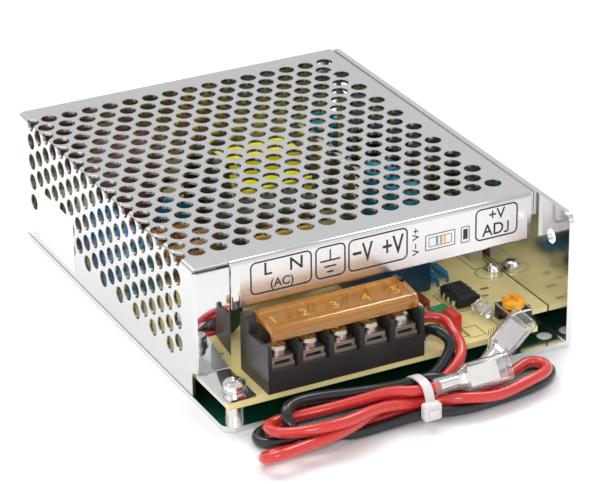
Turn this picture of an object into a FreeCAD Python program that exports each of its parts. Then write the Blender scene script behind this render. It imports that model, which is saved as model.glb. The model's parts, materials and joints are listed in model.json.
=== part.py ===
"""A small enclosed switching power supply with a folded perforated cover and battery leads.

Frame: X runs along the front from the terminal side to the adjuster side, Y runs from the
front edge to the back, Z is up. Pieces are drawn from the outer front left corner of the base
plate, and main() then moves them so that the origin is the middle of the case's overall box,
on the surface that it stands on. Lengths are in millimetres.
"""
import FreeCAD, Part
import math
import os

V = FreeCAD.Vector

# Chassis: a base plate with one full-length side wall, folded from thick sheet.
case_width = 98.0
case_length = 129.0
case_height = 37.0
plate_t = 1.5
plate_bend_r = 2.0
plate_corner_r = 3.5
wall_corner_r = 2.6
mount_hole_d = 4.0
mount_hole_inset = 5.2
mount_hole_to_wall = 3.3
wall_hole_y = 8.4
wall_hole_z = 27.9

# Cover: one thin perforated sheet folded into a top, a side, a front strip and a back.
sheet_t = 0.8
sheet_bend_r = 1.0
cover_front_y = 16.4
cover_back_gap = 0.4
cover_wall_gap = 0.1
cover_floor_gap = 0.7
strip_height = 12.8
flange_width = 9.6
slit_width = 0.5
foot_relief = 2.5
inner_lip_height = 6.8
lip_screw_drop = 4.0
foot_x = (0.2, 8.8)

# Perforation: round holes on a triangular pitch. Each is cut with few sides here.
hole_pitch = 6.0
hole_d = 4.5
hole_sides = 6
hole_rows = 19
holes_per_row = 15
first_hole_x = 6.0
first_row_y = 26.2

# Circuit board on its spacers.
spacer_height = 4.7
spacer_d = 4.6
spacer_base_d = 4.8
spacer_base_h = 1.0
spacer_inset = 4.2
right_spacer_inset = 2.65
rear_spacer_inset = 12.0
board_t = 1.6
board_gap = 0.3
board_front_y = 0.6
board_back_gap = 2.6
notch_width = 8.0
notch_depth = 8.4
board_screw_y = 32.4

# Screws of the board and of the cover.
screw_d = 3.0
screw_hole_d = 3.4
screw_head_d = 5.6
screw_head_h = 2.2
board_screw_head_d = 4.7
washer_d = 6.8
washer_t = 0.6
spring_washer_d = 5.8
spring_washer_t = 0.9
side_screw_head_h = 1.6
side_screw_from_front = 14.0
side_screw_from_back = 22.0
screw_tip_gap = 0.5

# Terminal block.
poles = 5
pole_pitch = 8.5
block_x = 11.9
block_front_y = 0.4
block_depth = 15.3
end_wall_t = 1.05
divider_t = 1.3
skirt_height = 6.1
divider_height = 13.0
divider_drop = 1.4
body_height = 12.2
ear_height = 16.4
ear_depth = 4.9
left_ear_t = 2.2
right_ear_t = 1.2
tongue_width = 6.2
tongue_t = 1.0
tongue_front = 1.1
clamp_size = 6.0
clamp_t = 1.0
clamp_play = 0.12
pole_screw_d = 3.0
pole_head_d = 5.4
pole_head_h = 2.3
pole_screw_back = 4.7

# Flip cover over the terminals.
flap_t = 1.1
flap_pin_d = 1.6
flap_pin_play = 0.15
flap_axis_back = 12.7
flap_axis_up = 14.9
flap_front = 2.5
flap_top_front = 15.9
flap_top_back = 16.8
flap_lip = 3.3
flap_ear_drop = 2.2
flap_side_gap = 0.25

# Printed film on the front strip and the plain sticker on the side.
label_t = 0.1
label_x = 12.5
label_margin = 0.3
sticker_y = 92.3
sticker_length = 25.0
sticker_low = 3.6
sticker_height = 15.4

# Components on the board. Places are of the middle, from the board's front left corner,
# and sizes run along the case's width, its length and up.
relay_at = (63.3, 37.9)
relay_size = (20.0, 15.4, 15.6)
chip_at = (76.8, 21.6)
chip_size = (6.4, 9.4, 3.0)
chip_lift = 0.5
chip_pins = 4
chip_pin_pitch = 2.3
chip_pin_width = 1.0
chip_pin_t = 0.35
led_at = (77.4, 11.6)
led_d = 3.4
led_length = 5.0
led_height = 2.4
led_flange = 0.9
led_flange_d = 4.2
led_pin_pitch = 2.54
led_bend = 1.6
trimmer_at = (83.4, 5.9)
trimmer_size = (6.6, 7.4, 4.0)
trimmer_foot = 1.8
knob_d = 5.8
knob_height = 2.0
knob_pin_d = 2.6
knob_play = 0.12
knob_turn_gap = 0.1
resistor_points = [(75.9, 35.6), (79.3, 36.6)]
resistor_d = 2.3
resistor_length = 5.2
resistor_pitch = 9.0
wire_t = 0.6
diode_at = (67.0, 24.0)
green_cap_at = (67.1, 14.3)
green_cap_size = (4.3, 4.3, 3.4)
red_cap_at = (66.9, 8.2)
red_cap_size = (2.3, 5.4, 5.2)
white_socket_at = (59.3, 19.5)
white_socket_size = (8.4, 4.6, 3.8)
side_cap_at = (92.4, 48.6)
side_cap_size = (3.6, 17.6, 12.2)
x_cap_at = (5.4, 74.6)
x_cap_size = (6.6, 26.0, 15.2)
grey_cap_at = (5.4, 99.6)
grey_cap_size = (6.6, 14.0, 13.6)
isolator_at = (65.6, 56.4)
isolator_size = (6.2, 4.8, 3.4)
fuse_at = (6.2, 30.6)
fuse_d = 5.2
fuse_length = 20.0
fuse_cap_length = 5.0
fuse_lift = 3.2
thermistor_at = (15.4, 34.0)
thermistor_size = (9.0, 4.0)
varistor_at = (28.9, 92.0)
varistor_size = (10.0, 3.6)
disc_lift = 1.0
bulk_cap_at = (19.4, 104.0)
bulk_cap_size = (21.0, 25.0)
output_cap_points = [(78.4, 56.0), (78.4, 67.6), (78.4, 102.6)]
output_cap_size = (10.2, 20.0)
can_bevel = 0.6
choke_at = (37.0, 52.6)
choke_size = (24.0, 12.0, 22.0)
choke_winding_size = (18.0, 22.0)
transformer_at = (48.9, 82.4)
transformer_size = (27.0, 10.0, 22.0)
transformer_winding_size = (20.0, 28.0)
core_leg = 4.2
core_lift = 2.6
core_middle_leg = 7.0
bobbin_size = (27.0, 33.0, 2.6)
input_ring_at = (21.9, 77.4)
input_ring_size = (7.4, 4.2)
output_ring_at = (61.0, 113.0)
output_ring_size = (6.6, 3.8)
ring_bevel = 1.6
bridge_at = (45.0, 103.5)
bridge_size = (15.0, 4.0, 16.0)
bridge_lift = 2.0
inner_sink_x = 69.2
outer_sink_x = 89.0
sink_t = 2.0
sink_y = (63.0, 102.0)
sink_foot = 4.0
sink_height = 23.0
transistor_y = (80.0, 92.0)
transistor_size = (4.4, 10.0, 9.2)
transistor_tab = 6.4
transistor_tab_t = 1.3
transistor_lift = 4.0
transistor_pin_pitch = 2.54

# Battery leads. The routes are of their middle lines, from the board to the spade terminals.
lead_d = 2.8
lead_holder_size = (3.8, 8.6, 1.4)
lead_holder_play = 0.2
tie_x = 46.2
tie_width = 2.4
tie_t = 0.7
tie_gap = 0.5
tie_head = (5.4, 4.2, 5.4)
tie_head_shift = 0.7
sleeve_wall = 0.6
sleeve_half_t = 2.0
sleeve_overlap = 1.8
neck_half_width = 2.3
neck_length = 7.0
taper_length = 2.6
blade_half_width = 3.6
blade_length = 11.6
barrel_length = 5.0
receptacle_length = 8.0
receptacle_t = 2.2
receptacle_plate_t = 0.8
receptacle_curl = 1.7
receptacle_play = 0.55
red_sleeve_lean = (0.0, -0.515, -0.857)
black_sleeve_lean = (0.57, -0.63, -0.52)
red_route = [
    (57.2, 11.0, 7.8), (57.2, 11.0, 10.4), (59.4, 10.5, 13.0), (65.0, 8.1, 12.6),
    (65.1, 3.0, 10.6), (64.1, -3.1, 9.5), (60.6, -7.5, 8.0), (55.2, -9.1, 5.4),
    (49.0, -11.2, 4.9), (42.0, -11.5, 4.9), (35.9, -13.0, 4.9), (30.5, -15.4, 4.5),
    (24.4, -18.6, 4.9), (17.3, -20.0, 4.5), (10.1, -20.7, 4.4), (3.5, -22.5, 4.9),
    (0.7, -20.1, 3.5), (1.7, -16.6, 1.8), (5.6, -15.6, 1.5), (12.7, -16.4, 1.5),
    (20.7, -13.9, 1.6), (30.0, -13.3, 1.5), (40.1, -13.0, 2.2), (50.0, -12.6, 2.4),
    (60.0, -13.2, 1.6), (68.0, -12.6, 2.2), (74.4, -10.7, 3.6), (79.7, -8.9, 4.4),
    (82.7, -11.8, 4.5), (81.5, -15.9, 4.5), (74.4, -18.3, 4.6), (64.2, -20.4, 3.8),
    (54.6, -19.3, 5.4), (49.8, -14.8, 3.7), (42.1, -15.2, 4.9), (35.6, -15.9, 6.4),
    (29.6, -17.7, 7.4), (22.6, -20.1, 7.7), (15.4, -19.6, 7.5), (9.4, -16.4, 6.2),
    (6.6, -11.6, 5.0), (7.4, -7.2, 4.4), (12.4, -6.0, 4.3), (18.0, -7.6, 4.9),
    (24.5, -9.6, 6.0), (31.5, -11.2, 7.1), (38.9, -12.5, 8.2), (45.0, -15.3, 7.7),
    (50.4, -15.5, 8.0),
]
black_route = [
    (57.2, 6.4, 7.8), (57.2, 6.4, 9.0), (57.6, 5.8, 11.0), (59.3, 3.5, 13.1),
    (62.1, -1.7, 11.2), (58.1, -4.9, 7.6), (53.3, -6.7, 5.4), (47.0, -8.0, 4.6),
    (40.0, -6.6, 3.4), (33.0, -4.4, 2.0), (25.0, -3.3, 1.5), (17.0, -3.3, 1.5),
    (9.6, -3.6, 1.5), (5.0, -5.8, 1.5), (4.6, -9.8, 1.5), (8.4, -12.7, 1.9),
    (12.3, -14.4, 4.2), (17.5, -16.1, 4.8), (21.9, -16.8, 2.7), (27.0, -16.7, 1.5),
    (36.0, -16.1, 1.5), (45.5, -17.0, 2.5), (54.1, -19.6, 2.1), (63.9, -18.4, 1.5),
    (73.0, -17.7, 1.6), (81.1, -15.4, 1.5), (85.8, -11.1, 1.5), (83.6, -6.5, 1.5),
    (77.0, -6.8, 1.5), (69.0, -8.6, 1.5), (60.0, -9.3, 1.7), (50.0, -9.6, 2.4),
    (40.0, -10.0, 2.2), (31.0, -10.2, 1.5), (22.9, -10.7, 1.5), (16.9, -11.9, 1.5),
    (13.2, -11.8, 2.5), (11.7, -10.2, 5.6), (12.6, -7.2, 7.5), (16.5, -5.0, 7.4),
    (22.5, -4.9, 7.1), (30.0, -6.9, 7.0), (38.0, -8.6, 7.0), (44.4, -10.5, 7.7),
    (50.8, -11.3, 8.5), (56.2, -12.3, 6.3), (60.9, -12.3, 4.6), (66.4, -9.6, 6.5),
]

# Worked-out places.
base_top = plate_t
board_z = base_top + spacer_height
board_top = board_z + board_t
inner_right = case_width - plate_t
board_x = sheet_t + board_gap
board_right = inner_right - board_gap
board_back_y = case_length - cover_back_gap - sheet_t - board_back_gap
cover_right = inner_right - cover_wall_gap
cover_back_y = case_length - cover_back_gap
sheet_under = case_height - sheet_t
strip_bottom = case_height - strip_height
block_width = poles * pole_pitch + 2.0 * end_wall_t - divider_t
block_right = block_x + block_width
block_back_y = block_front_y + block_depth
spacer_points = [
    (spacer_inset + board_x - sheet_t, spacer_inset),
    (board_right - right_spacer_inset, board_screw_y),
    (board_x + spacer_inset, board_back_y - rear_spacer_inset),
    (board_right - spacer_inset, board_back_y - rear_spacer_inset),
]


def box(x0, y0, z0, x1, y1, z1):
    """A box between two corners."""
    return Part.makeBox(x1 - x0, y1 - y0, z1 - z0, V(x0, y0, z0))


def rod(x, y, z, d, h, direction=(0, 0, 1)):
    """A round bar of diameter d that starts at a point."""
    return Part.makeCylinder(d / 2.0, h, V(x, y, z), V(*direction))


def slab(points, z, h):
    """A flat outline of (x, y) points raised by h."""
    corners = [V(x, y, z) for x, y in points]
    face = Part.Face(Part.makePolygon(corners + corners[:1]))
    return face.extrude(V(0, 0, h))


def profile_along_x(points, x, length):
    """An outline of (y, z) points drawn out along X."""
    corners = [V(x, y, z) for y, z in points]
    face = Part.Face(Part.makePolygon(corners + corners[:1]))
    return face.extrude(V(length, 0, 0))


def turned(points, x, y, z):
    """A solid of revolution about a vertical axis from (radius, height) points."""
    corners = [V(x + r, y, z + h) for r, h in points]
    face = Part.Face(Part.makePolygon(corners + corners[:1]))
    return face.revolve(V(x, y, z), V(0, 0, 1), 360)


def edges_along(shape, direction, keep):
    """The straight edges that run along a direction and whose middle passes a test."""
    axis = V(*direction)
    found = []
    for edge in shape.Edges:
        if len(edge.Vertexes) != 2:
            continue
        a = edge.Vertexes[0].Point
        b = edge.Vertexes[1].Point
        run = b.sub(a)
        if run.Length < 1e-6 or run.cross(axis).Length > 1e-6 * run.Length:
            continue
        if keep(a.add(b).multiply(0.5)):
            found.append(edge)
    return found


def near(a, b):
    """Whether two sizes are the same."""
    return abs(a - b) < 1e-4


def joined(shapes):
    """One clean solid from shapes that touch."""
    return shapes[0].multiFuse(shapes[1:]).removeSplitter()


# Chassis


def chassis():
    """The base plate and side wall, with mounting holes and rounded corners."""
    outer = box(0, 0, 0, case_width, case_length, case_height)
    outer = outer.makeFillet(
        plate_bend_r, edges_along(outer, (0, 1, 0), lambda p: near(p.x, case_width) and near(p.z, 0))
    )
    hollow = box(-1, -1, plate_t, inner_right, case_length + 1, case_height + 1)
    inner_r = max(plate_bend_r - plate_t, 0.2)
    hollow = hollow.makeFillet(
        inner_r, edges_along(hollow, (0, 1, 0), lambda p: near(p.x, inner_right) and near(p.z, plate_t))
    )
    body = outer.cut(hollow)
    body = body.makeFillet(
        plate_corner_r, edges_along(body, (0, 0, 1), lambda p: near(p.x, 0) and p.z < plate_t)
    )
    body = body.makeFillet(
        wall_corner_r, edges_along(body, (1, 0, 0), lambda p: near(p.z, case_height))
    )
    for x, y in base_mount_points():
        body = body.cut(rod(x, y, -1, mount_hole_d, plate_t + 2))
    for y in (wall_hole_y, case_length - wall_hole_y):
        body = body.cut(rod(inner_right - 1, y, wall_hole_z, mount_hole_d, plate_t + 2, (1, 0, 0)))
    for y in side_screw_ys():
        body = body.cut(rod(inner_right - 1, y, side_screw_z(), screw_hole_d, plate_t + 2, (1, 0, 0)))
    return body


def base_mount_points():
    """Centres of the mounting holes in the base plate."""
    right = inner_right - mount_hole_to_wall
    back = case_length - mount_hole_inset
    return [(right, mount_hole_inset), (right, back), (case_width * 0.5, back)]


def side_screw_ys():
    """Places along the case of the two screws that hold the cover to the side wall."""
    return [cover_front_y + side_screw_from_front, cover_back_y - side_screw_from_back]


def side_screw_z():
    """Height of the cover screws, in the middle of the cover's inner lip."""
    return case_height - lip_screw_drop


# Cover


def hole_outline(u, v):
    """Corners of one perforation about its centre, with flats towards the folds."""
    r = hole_d / 2.0
    step = 2.0 * math.pi / hole_sides
    return [
        (u + r * math.cos(step * (k + 0.5)), v + r * math.sin(step * (k + 0.5)))
        for k in range(hole_sides)
    ]


def perforated_panel(corner, along, across, outline, centres, thickness):
    """A flat panel with all its holes, made from one face with inner wires."""
    a = V(*along)
    c = V(*across)
    o = V(*corner)

    def wire(points):
        ring = [o + a * u + c * v for u, v in points]
        return Part.makePolygon(ring + ring[:1])

    wires = [wire(outline)] + [wire(hole_outline(u, v)) for u, v in centres]
    face = Part.makeFace(wires, "Part::FaceMakerBullseye")
    return face.extrude(a.cross(c) * thickness)


def row_y(row):
    """Place of one row of holes along the case."""
    return first_row_y + row * hole_pitch * math.sqrt(3.0) / 2.0


def top_hole_centres():
    """Hole centres on the top, every other row shifted by half a pitch."""
    centres = []
    for row in range(hole_rows):
        shift = 0.0 if row % 2 == 0 else -0.5 * hole_pitch
        for k in range(holes_per_row):
            centres.append((first_hole_x + shift + k * hole_pitch, row_y(row)))
    return centres


def wall_hole_centres():
    """Hole centres on the side, as (distance down from the top, place along the case)."""
    lowest = case_height - base_top - cover_floor_gap - 1.2 * hole_pitch
    centres = []
    for row in range(hole_rows):
        drop = hole_pitch if row % 2 == 0 else 0.5 * hole_pitch
        while drop < lowest:
            centres.append((drop, row_y(row)))
            drop += hole_pitch
    return centres


def quarter_bend(p, across, up, length_dir, length):
    """The curved strip of one fold: a quarter ring drawn out along the fold line.

    p is the centre of the bend, across and up point to its two flat neighbours.
    """
    a = V(*across)
    u = V(*up)
    o = V(*p)
    r0 = sheet_bend_r - sheet_t
    r1 = sheet_bend_r
    half = math.sqrt(0.5)
    inner = Part.Arc(o + a * r0, o + (a + u) * (r0 * half), o + u * r0).toShape()
    outer = Part.Arc(o + u * r1, o + (a + u) * (r1 * half), o + a * r1).toShape()
    first = Part.LineSegment(o + u * r0, o + u * r1).toShape()
    last = Part.LineSegment(o + a * r1, o + a * r0).toShape()
    face = Part.Face(Part.Wire([inner, first, outer, last]))
    return face.extrude(V(*length_dir) * length)


def cover():
    """The folded perforated cover, with its front strip, flange and foot."""
    r = sheet_bend_r
    y0 = cover_front_y + r
    y1 = cover_back_y - r
    wall_z = base_top + cover_floor_gap
    lip_x = cover_right - r
    outline = [(r, y0), (lip_x, y0), (lip_x, y1), (r, y1)]
    top = perforated_panel((0, 0, sheet_under), (1, 0, 0), (0, 1, 0), outline,
                           top_hole_centres(), sheet_t)
    deep = case_height - wall_z
    side_outline = [(r, y0), (case_height - foot_top() - 0.2, y0),
                    (case_height - foot_top() - 0.2, cover_front_y + foot_relief),
                    (deep, cover_front_y + foot_relief), (deep, y1), (r, y1)]
    side = perforated_panel((0, 0, case_height), (0, 0, -1), (0, 1, 0), side_outline,
                            wall_hole_centres(), sheet_t)
    left_fold = quarter_bend((r, y0, case_height - r), (-1, 0, 0), (0, 0, 1), (0, 1, 0), y1 - y0)
    left_fold = left_fold.cut(Part.makeCompound(fold_hole_tools()))
    strip_x0 = flange_width + slit_width
    front_fold = quarter_bend((strip_x0, y0, case_height - r), (0, -1, 0), (0, 0, 1), (1, 0, 0),
                              cover_right - r - strip_x0)
    strip = box(strip_x0, cover_front_y, strip_bottom, cover_right - r, cover_front_y + sheet_t,
                case_height - r)
    right_fold = quarter_bend((lip_x, y0, case_height - r), (1, 0, 0), (0, 0, 1), (0, 1, 0), y1 - y0)
    lip = box(cover_right - sheet_t, y0, case_height - inner_lip_height, cover_right, y1,
              case_height - r)
    for y in side_screw_ys():
        lip = lip.cut(rod(cover_right - 2 * sheet_t, y, side_screw_z(), screw_d, 3 * sheet_t, (1, 0, 0)))
    back_fold = quarter_bend((r, y1, case_height - r), (0, 1, 0), (0, 0, 1), (1, 0, 0),
                             cover_right - 2 * r)
    back = box(r, cover_back_y - sheet_t, wall_z, cover_right - r, cover_back_y, case_height - r)
    flange_fold = quarter_bend((r, y0, foot_top() - sheet_t + r), (0, -1, 0), (-1, 0, 0), (0, 0, 1),
                               case_height - 2 * r - foot_top() + sheet_t)
    flange = box(r, cover_front_y, foot_top() - sheet_t + r, flange_width, cover_front_y + sheet_t,
                 case_height - r)
    foot_fold = quarter_bend((r, cover_front_y + sheet_t - r, foot_top() - sheet_t + r),
                             (0, 1, 0), (0, 0, -1), (1, 0, 0), foot_x[1] - r)
    foot = box(foot_x[0], board_front_y + board_gap, foot_top() - sheet_t, foot_x[1],
               cover_front_y + sheet_t - r, foot_top())
    x, y = spacer_points[0]
    foot = foot.cut(rod(x, y, foot_top() - 2 * sheet_t, screw_hole_d, 3 * sheet_t))
    return joined([top, side, left_fold, front_fold, strip, right_fold, lip, back_fold, back,
                   flange_fold, flange, foot_fold, foot])


def fold_hole_tools():
    """Cutters for the holes that fall on the left fold, one in every other row."""
    tools = []
    reach = 3.0 * sheet_bend_r
    half = math.sqrt(0.5)
    for row in range(0, hole_rows, 2):
        centre = V(sheet_bend_r, row_y(row), case_height - sheet_bend_r)
        ring = []
        for u, v in hole_outline(0.0, 0.0):
            ring.append(centre + V(u * half, v, u * half))
        face = Part.Face(Part.makePolygon(ring + ring[:1]))
        tools.append(face.extrude(V(-half, 0, half) * reach))
    return tools


def foot_top():
    """Upper face of the cover's foot, which lies on the board."""
    return board_top + sheet_t


# Board, spacers and screws


def board():
    """The circuit board with its notch over the mounting hole."""
    outline = [
        (board_x, board_front_y),
        (board_right - notch_width, board_front_y),
        (board_right - notch_width, board_front_y + notch_depth),
        (board_right, board_front_y + notch_depth),
        (board_right, board_back_y),
        (board_x, board_back_y),
    ]
    body = slab(outline, board_z, board_t)
    for x, y in spacer_points:
        body = body.cut(rod(x, y, board_z - 1, screw_hole_d, board_t + 2))
    return body


def spacers():
    """Round spacers pressed into the base plate."""
    shapes = []
    for x, y in spacer_points:
        outline = [
            (0, 0),
            (spacer_base_d / 2.0, 0),
            (spacer_base_d / 2.0, spacer_base_h),
            (spacer_d / 2.0, spacer_base_h),
            (spacer_d / 2.0, spacer_height),
            (0, spacer_height),
        ]
        post = turned(outline, x, y, base_top)
        bore = rod(x, y, base_top + spacer_base_h, screw_d, spacer_height)
        shapes.append(post.cut(bore))
    return Part.makeCompound(shapes)


def pan_screw(x, y, seat, length, head_d):
    """A pan head screw with a cross recess, its head seated at a height."""
    head = turned(
        [
            (0, 0),
            (head_d / 2.0, 0),
            (head_d / 2.0, screw_head_h * 0.55),
            (head_d * 0.38, screw_head_h * 0.9),
            (head_d * 0.2, screw_head_h),
            (0, screw_head_h),
        ],
        x, y, seat,
    )
    shank = rod(x, y, seat - length, screw_d, length)
    slot = head_d * 0.6
    width = head_d * 0.14
    depth = screw_head_h * 0.5
    top = seat + screw_head_h
    cross = box(x - slot / 2, y - width / 2, top - depth, x + slot / 2, y + width / 2, top + 1)
    other = box(x - width / 2, y - slot / 2, top - depth, x + width / 2, y + slot / 2, top + 1)
    return head.fuse(shank).cut(cross).cut(other).removeSplitter()


def ring(x, y, z, d, bore, t):
    """A flat washer."""
    return rod(x, y, z, d, t).cut(rod(x, y, z - 1, bore, t + 2))


def spring_ring(x, y, z):
    """A split spring washer."""
    body = ring(x, y, z, spring_washer_d, screw_hole_d, spring_washer_t)
    return body.cut(box(x, y - 0.3, z - 1, x + spring_washer_d, y + 0.3, z + spring_washer_t + 1))


def board_screws():
    """Screws through the board into the spacers that the cover's foot leaves free."""
    length = board_t + spacer_height - spacer_base_h - screw_tip_gap
    shapes = []
    for x, y in spacer_points[1:]:
        shapes.append(pan_screw(x, y, board_top, length, board_screw_head_d))
    return Part.makeCompound(shapes)


def side_screws():
    """Low round head screws that hold the cover's lip to the side wall."""
    shapes = []
    for y in side_screw_ys():
        head = rod(case_width, y, side_screw_z(), screw_head_d, side_screw_head_h, (1, 0, 0))
        rim = [e for e in head.Edges if near(e.BoundBox.XMin, case_width + side_screw_head_h)]
        head = head.makeChamfer(side_screw_head_h * 0.45, rim)
        reach = plate_t + cover_wall_gap + sheet_t + 1.2
        shank = rod(case_width - reach, y, side_screw_z(), screw_d, reach, (1, 0, 0))
        shapes.append(head.fuse(shank).removeSplitter())
    return Part.makeCompound(shapes)


# Terminal block


def pole_x(k):
    """Centre of one pole along the block."""
    return block_x + end_wall_t + (pole_pitch - divider_t) / 2.0 + k * pole_pitch


def terminal_block():
    """The moulded housing: skirt, dividers, end walls, raised back and hinge ears."""
    y0 = block_front_y
    z0 = board_top
    side = [
        (y0, z0),
        (y0, z0 + divider_height - 0.6),
        (y0 + 0.6, z0 + divider_height),
        (y0 + flap_front - 0.3, z0 + divider_height),
        (y0 + flap_front - 0.3, z0 + body_height),
        (block_back_y - ear_depth, z0 + body_height),
        (block_back_y, z0 + body_height),
        (block_back_y, z0),
    ]
    body = profile_along_x(side, block_x, block_width)
    pocket_back = y0 + pole_screw_back + clamp_size / 2.0 + 0.5
    for k in range(poles):
        half = (pole_pitch - divider_t) / 2.0
        body = body.cut(box(pole_x(k) - half, y0 - 1, z0 + skirt_height,
                            pole_x(k) + half, pocket_back, z0 + divider_height + 1))
        body = body.cut(rod(pole_x(k), y0 + pole_screw_back, z0 + 1.0, pole_screw_d + 0.6,
                            skirt_height))
    body = body.cut(box(block_x + end_wall_t, y0 - 1, z0 + divider_height - divider_drop,
                        block_right - end_wall_t, y0 + flap_front, z0 + divider_height + 1))
    ear = [
        (block_back_y - ear_depth, z0 + body_height),
        (block_back_y - ear_depth, z0 + ear_height - 1.8),
        (block_back_y - ear_depth + 1.4, z0 + ear_height),
        (block_back_y - 0.6, z0 + ear_height - 0.3),
        (block_back_y, z0 + ear_height - 1.2),
        (block_back_y, z0 + body_height),
    ]
    left = profile_along_x(ear, block_x, left_ear_t)
    right = profile_along_x(ear, block_right - right_ear_t, right_ear_t)
    body = joined([body, left, right])
    bore = rod(block_x + 0.7, flap_axis()[0], flap_axis()[1], flap_pin_d + 2 * flap_pin_play,
               block_width - 1.4, (1, 0, 0))
    return body.cut(bore)


def flap_axis():
    """Hinge axis of the flip cover as (y, z)."""
    return block_front_y + flap_axis_back, board_top + flap_axis_up


def terminal_tongues():
    """The metal tongues on which the wires are clamped, each with a tapped hole."""
    shapes = []
    z = board_top + skirt_height
    back = block_front_y + pole_screw_back + clamp_size / 2.0 + 0.4
    for k in range(poles):
        x = pole_x(k)
        plate = box(x - tongue_width / 2, block_front_y + tongue_front, z, x + tongue_width / 2,
                    back, z + tongue_t)
        plate = plate.cut(rod(x, block_front_y + pole_screw_back, z - 1,
                              pole_screw_d + 2 * clamp_play, tongue_t + 2))
        shapes.append(plate)
    return Part.makeCompound(shapes)


def terminal_clamps():
    """Square clamp plates with turned-down edges, one under each screw head."""
    shapes = []
    z = board_top + skirt_height + tongue_t
    for k in range(poles):
        x = pole_x(k)
        y = block_front_y + pole_screw_back
        half = clamp_size / 2.0
        plate = box(x - half, y - half, z, x + half, y + half, z + 2 * clamp_t)
        plate = plate.cut(box(x - half + 0.9, y - half - 1, z - 1, x + half - 0.9, y + half + 1,
                              z + clamp_t * 0.6))
        plate = plate.cut(box(x - half - 1, y - half - 1, z + clamp_t * 1.6, x + half + 1,
                              y + half + 1, z + 3 * clamp_t))
        plate = plate.cut(rod(x, y, z - 1, pole_screw_d + 2 * clamp_play, 4 * clamp_t))
        shapes.append(plate)
    return Part.makeCompound(shapes)


def terminal_screw(k):
    """One captive terminal screw with a pan head and a cross recess."""
    x = pole_x(k)
    y = block_front_y + pole_screw_back
    seat = board_top + skirt_height + tongue_t + clamp_t * 1.6 + clamp_play
    r = pole_head_d / 2.0
    head = turned([(0, 0), (r, 0), (r, pole_head_h * 0.6), (r * 0.78, pole_head_h * 0.92),
                   (r * 0.4, pole_head_h), (0, pole_head_h)], x, y, seat)
    shank_length = clamp_t * 1.6 + tongue_t + skirt_height * 0.6
    shank = rod(x, y, seat - shank_length, pole_screw_d, shank_length)
    top = seat + pole_head_h
    slot = pole_head_d * 0.62
    width = pole_head_d * 0.15
    depth = pole_head_h * 0.55
    cross = box(x - slot / 2, y - width / 2, top - depth, x + slot / 2, y + width / 2, top + 1)
    other = box(x - width / 2, y - slot / 2, top - depth, x + width / 2, y + slot / 2, top + 1)
    return head.fuse(shank).cut(cross).cut(other).removeSplitter()


def terminal_flap():
    """The clear flip cover: rolled front lip, flat window, back ridge, ears and pins."""
    y0 = block_front_y
    z0 = board_top
    axis_y, axis_z = flap_axis()
    x0 = block_x + left_ear_t + flap_side_gap
    x1 = block_right - right_ear_t - flap_side_gap
    x_wide = block_right - flap_side_gap
    front = y0 + flap_front
    back = axis_y + flap_ear_drop * 0.72
    top = [
        (front, z0 + flap_top_front - flap_lip),
        (front, z0 + flap_top_front - 1.2),
        (front + 0.5, z0 + flap_top_front - 0.35),
        (front + 1.6, z0 + flap_top_front),
        (axis_y - 1.6, z0 + flap_top_back - 0.35),
        (axis_y - 0.9, z0 + flap_top_back),
        (axis_y + 0.4, z0 + flap_top_back),
        (back, z0 + flap_top_back - 0.7),
        (back, z0 + flap_top_back - 0.7 - flap_t),
        (axis_y - 1.0, z0 + flap_top_back - 0.35 - flap_t),
        (front + 1.8, z0 + flap_top_front - flap_t),
        (front + flap_t, z0 + flap_top_front - 1.5),
        (front + flap_t, z0 + flap_top_front - flap_lip),
    ]
    panel = profile_along_x(top, x0, x1 - x0)
    shoulder_y = block_back_y - ear_depth - flap_side_gap
    wide = profile_along_x(top, x1, x_wide - x1).common(
        box(x1, y0 - 5, z0, x_wide, shoulder_y, z0 + 30)
    )
    ears = []
    for x in (x0, x1 - flap_t):
        ear = [
            (axis_y - 1.5, z0 + flap_top_back - 0.6),
            (axis_y - 1.1, axis_z - 0.9),
            (axis_y, axis_z - flap_pin_d * 0.78),
            (axis_y + 1.1, axis_z - 0.9),
            (axis_y + 1.3, z0 + flap_top_back - 0.6),
        ]
        ears.append(profile_along_x(ear, x, flap_t))
    pin = flap_side_gap + min(left_ear_t, right_ear_t) - 0.7 - flap_pin_play
    pins = [
        rod(x0 - pin, axis_y, axis_z, flap_pin_d, pin, (1, 0, 0)),
        rod(x1, axis_y, axis_z, flap_pin_d, pin, (1, 0, 0)),
    ]
    return joined([panel, wide] + ears + pins)


# Tab screw, washers, labels


def tab_screw():
    """The screw that holds the cover's foot, the board and the front left spacer together."""
    x, y = spacer_points[0]
    seat = foot_top() + washer_t + spring_washer_t
    length = seat - base_top - spacer_base_h - screw_tip_gap
    return pan_screw(x, y, seat, length, screw_head_d)


def tab_washer():
    """The flat washer under the tab screw."""
    x, y = spacer_points[0]
    return ring(x, y, foot_top(), washer_d, screw_hole_d, washer_t)


def tab_spring_washer():
    """The spring washer between the tab screw's head and the flat washer."""
    x, y = spacer_points[0]
    return spring_ring(x, y, foot_top() + washer_t)


def front_label():
    """The printed film on the front strip."""
    return box(label_x, cover_front_y - label_t, strip_bottom + label_margin,
               cover_right - sheet_bend_r - label_margin - 1.0, cover_front_y,
               case_height - sheet_bend_r - label_margin * 0.2)


def side_sticker():
    """A plain sticker on the side of the cover."""
    return box(-label_t, sticker_y, sticker_low, 0, sticker_y + sticker_length,
               sticker_low + sticker_height)


# Components


def on_board(at):
    """A place on the board in the frame of the case."""
    return board_x + at[0], board_front_y + at[1]


def crate(at, size, lift=0.0, corner_r=0.0):
    """A block on the board, with its upright edges rounded if asked."""
    x, y = on_board(at)
    w, d, h = size
    body = box(x - w / 2, y - d / 2, board_top + lift, x + w / 2, y + d / 2, board_top + lift + h)
    if corner_r > 0.0:
        body = body.makeFillet(corner_r, edges_along(body, (0, 0, 1), lambda p: True))
    return body


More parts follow.
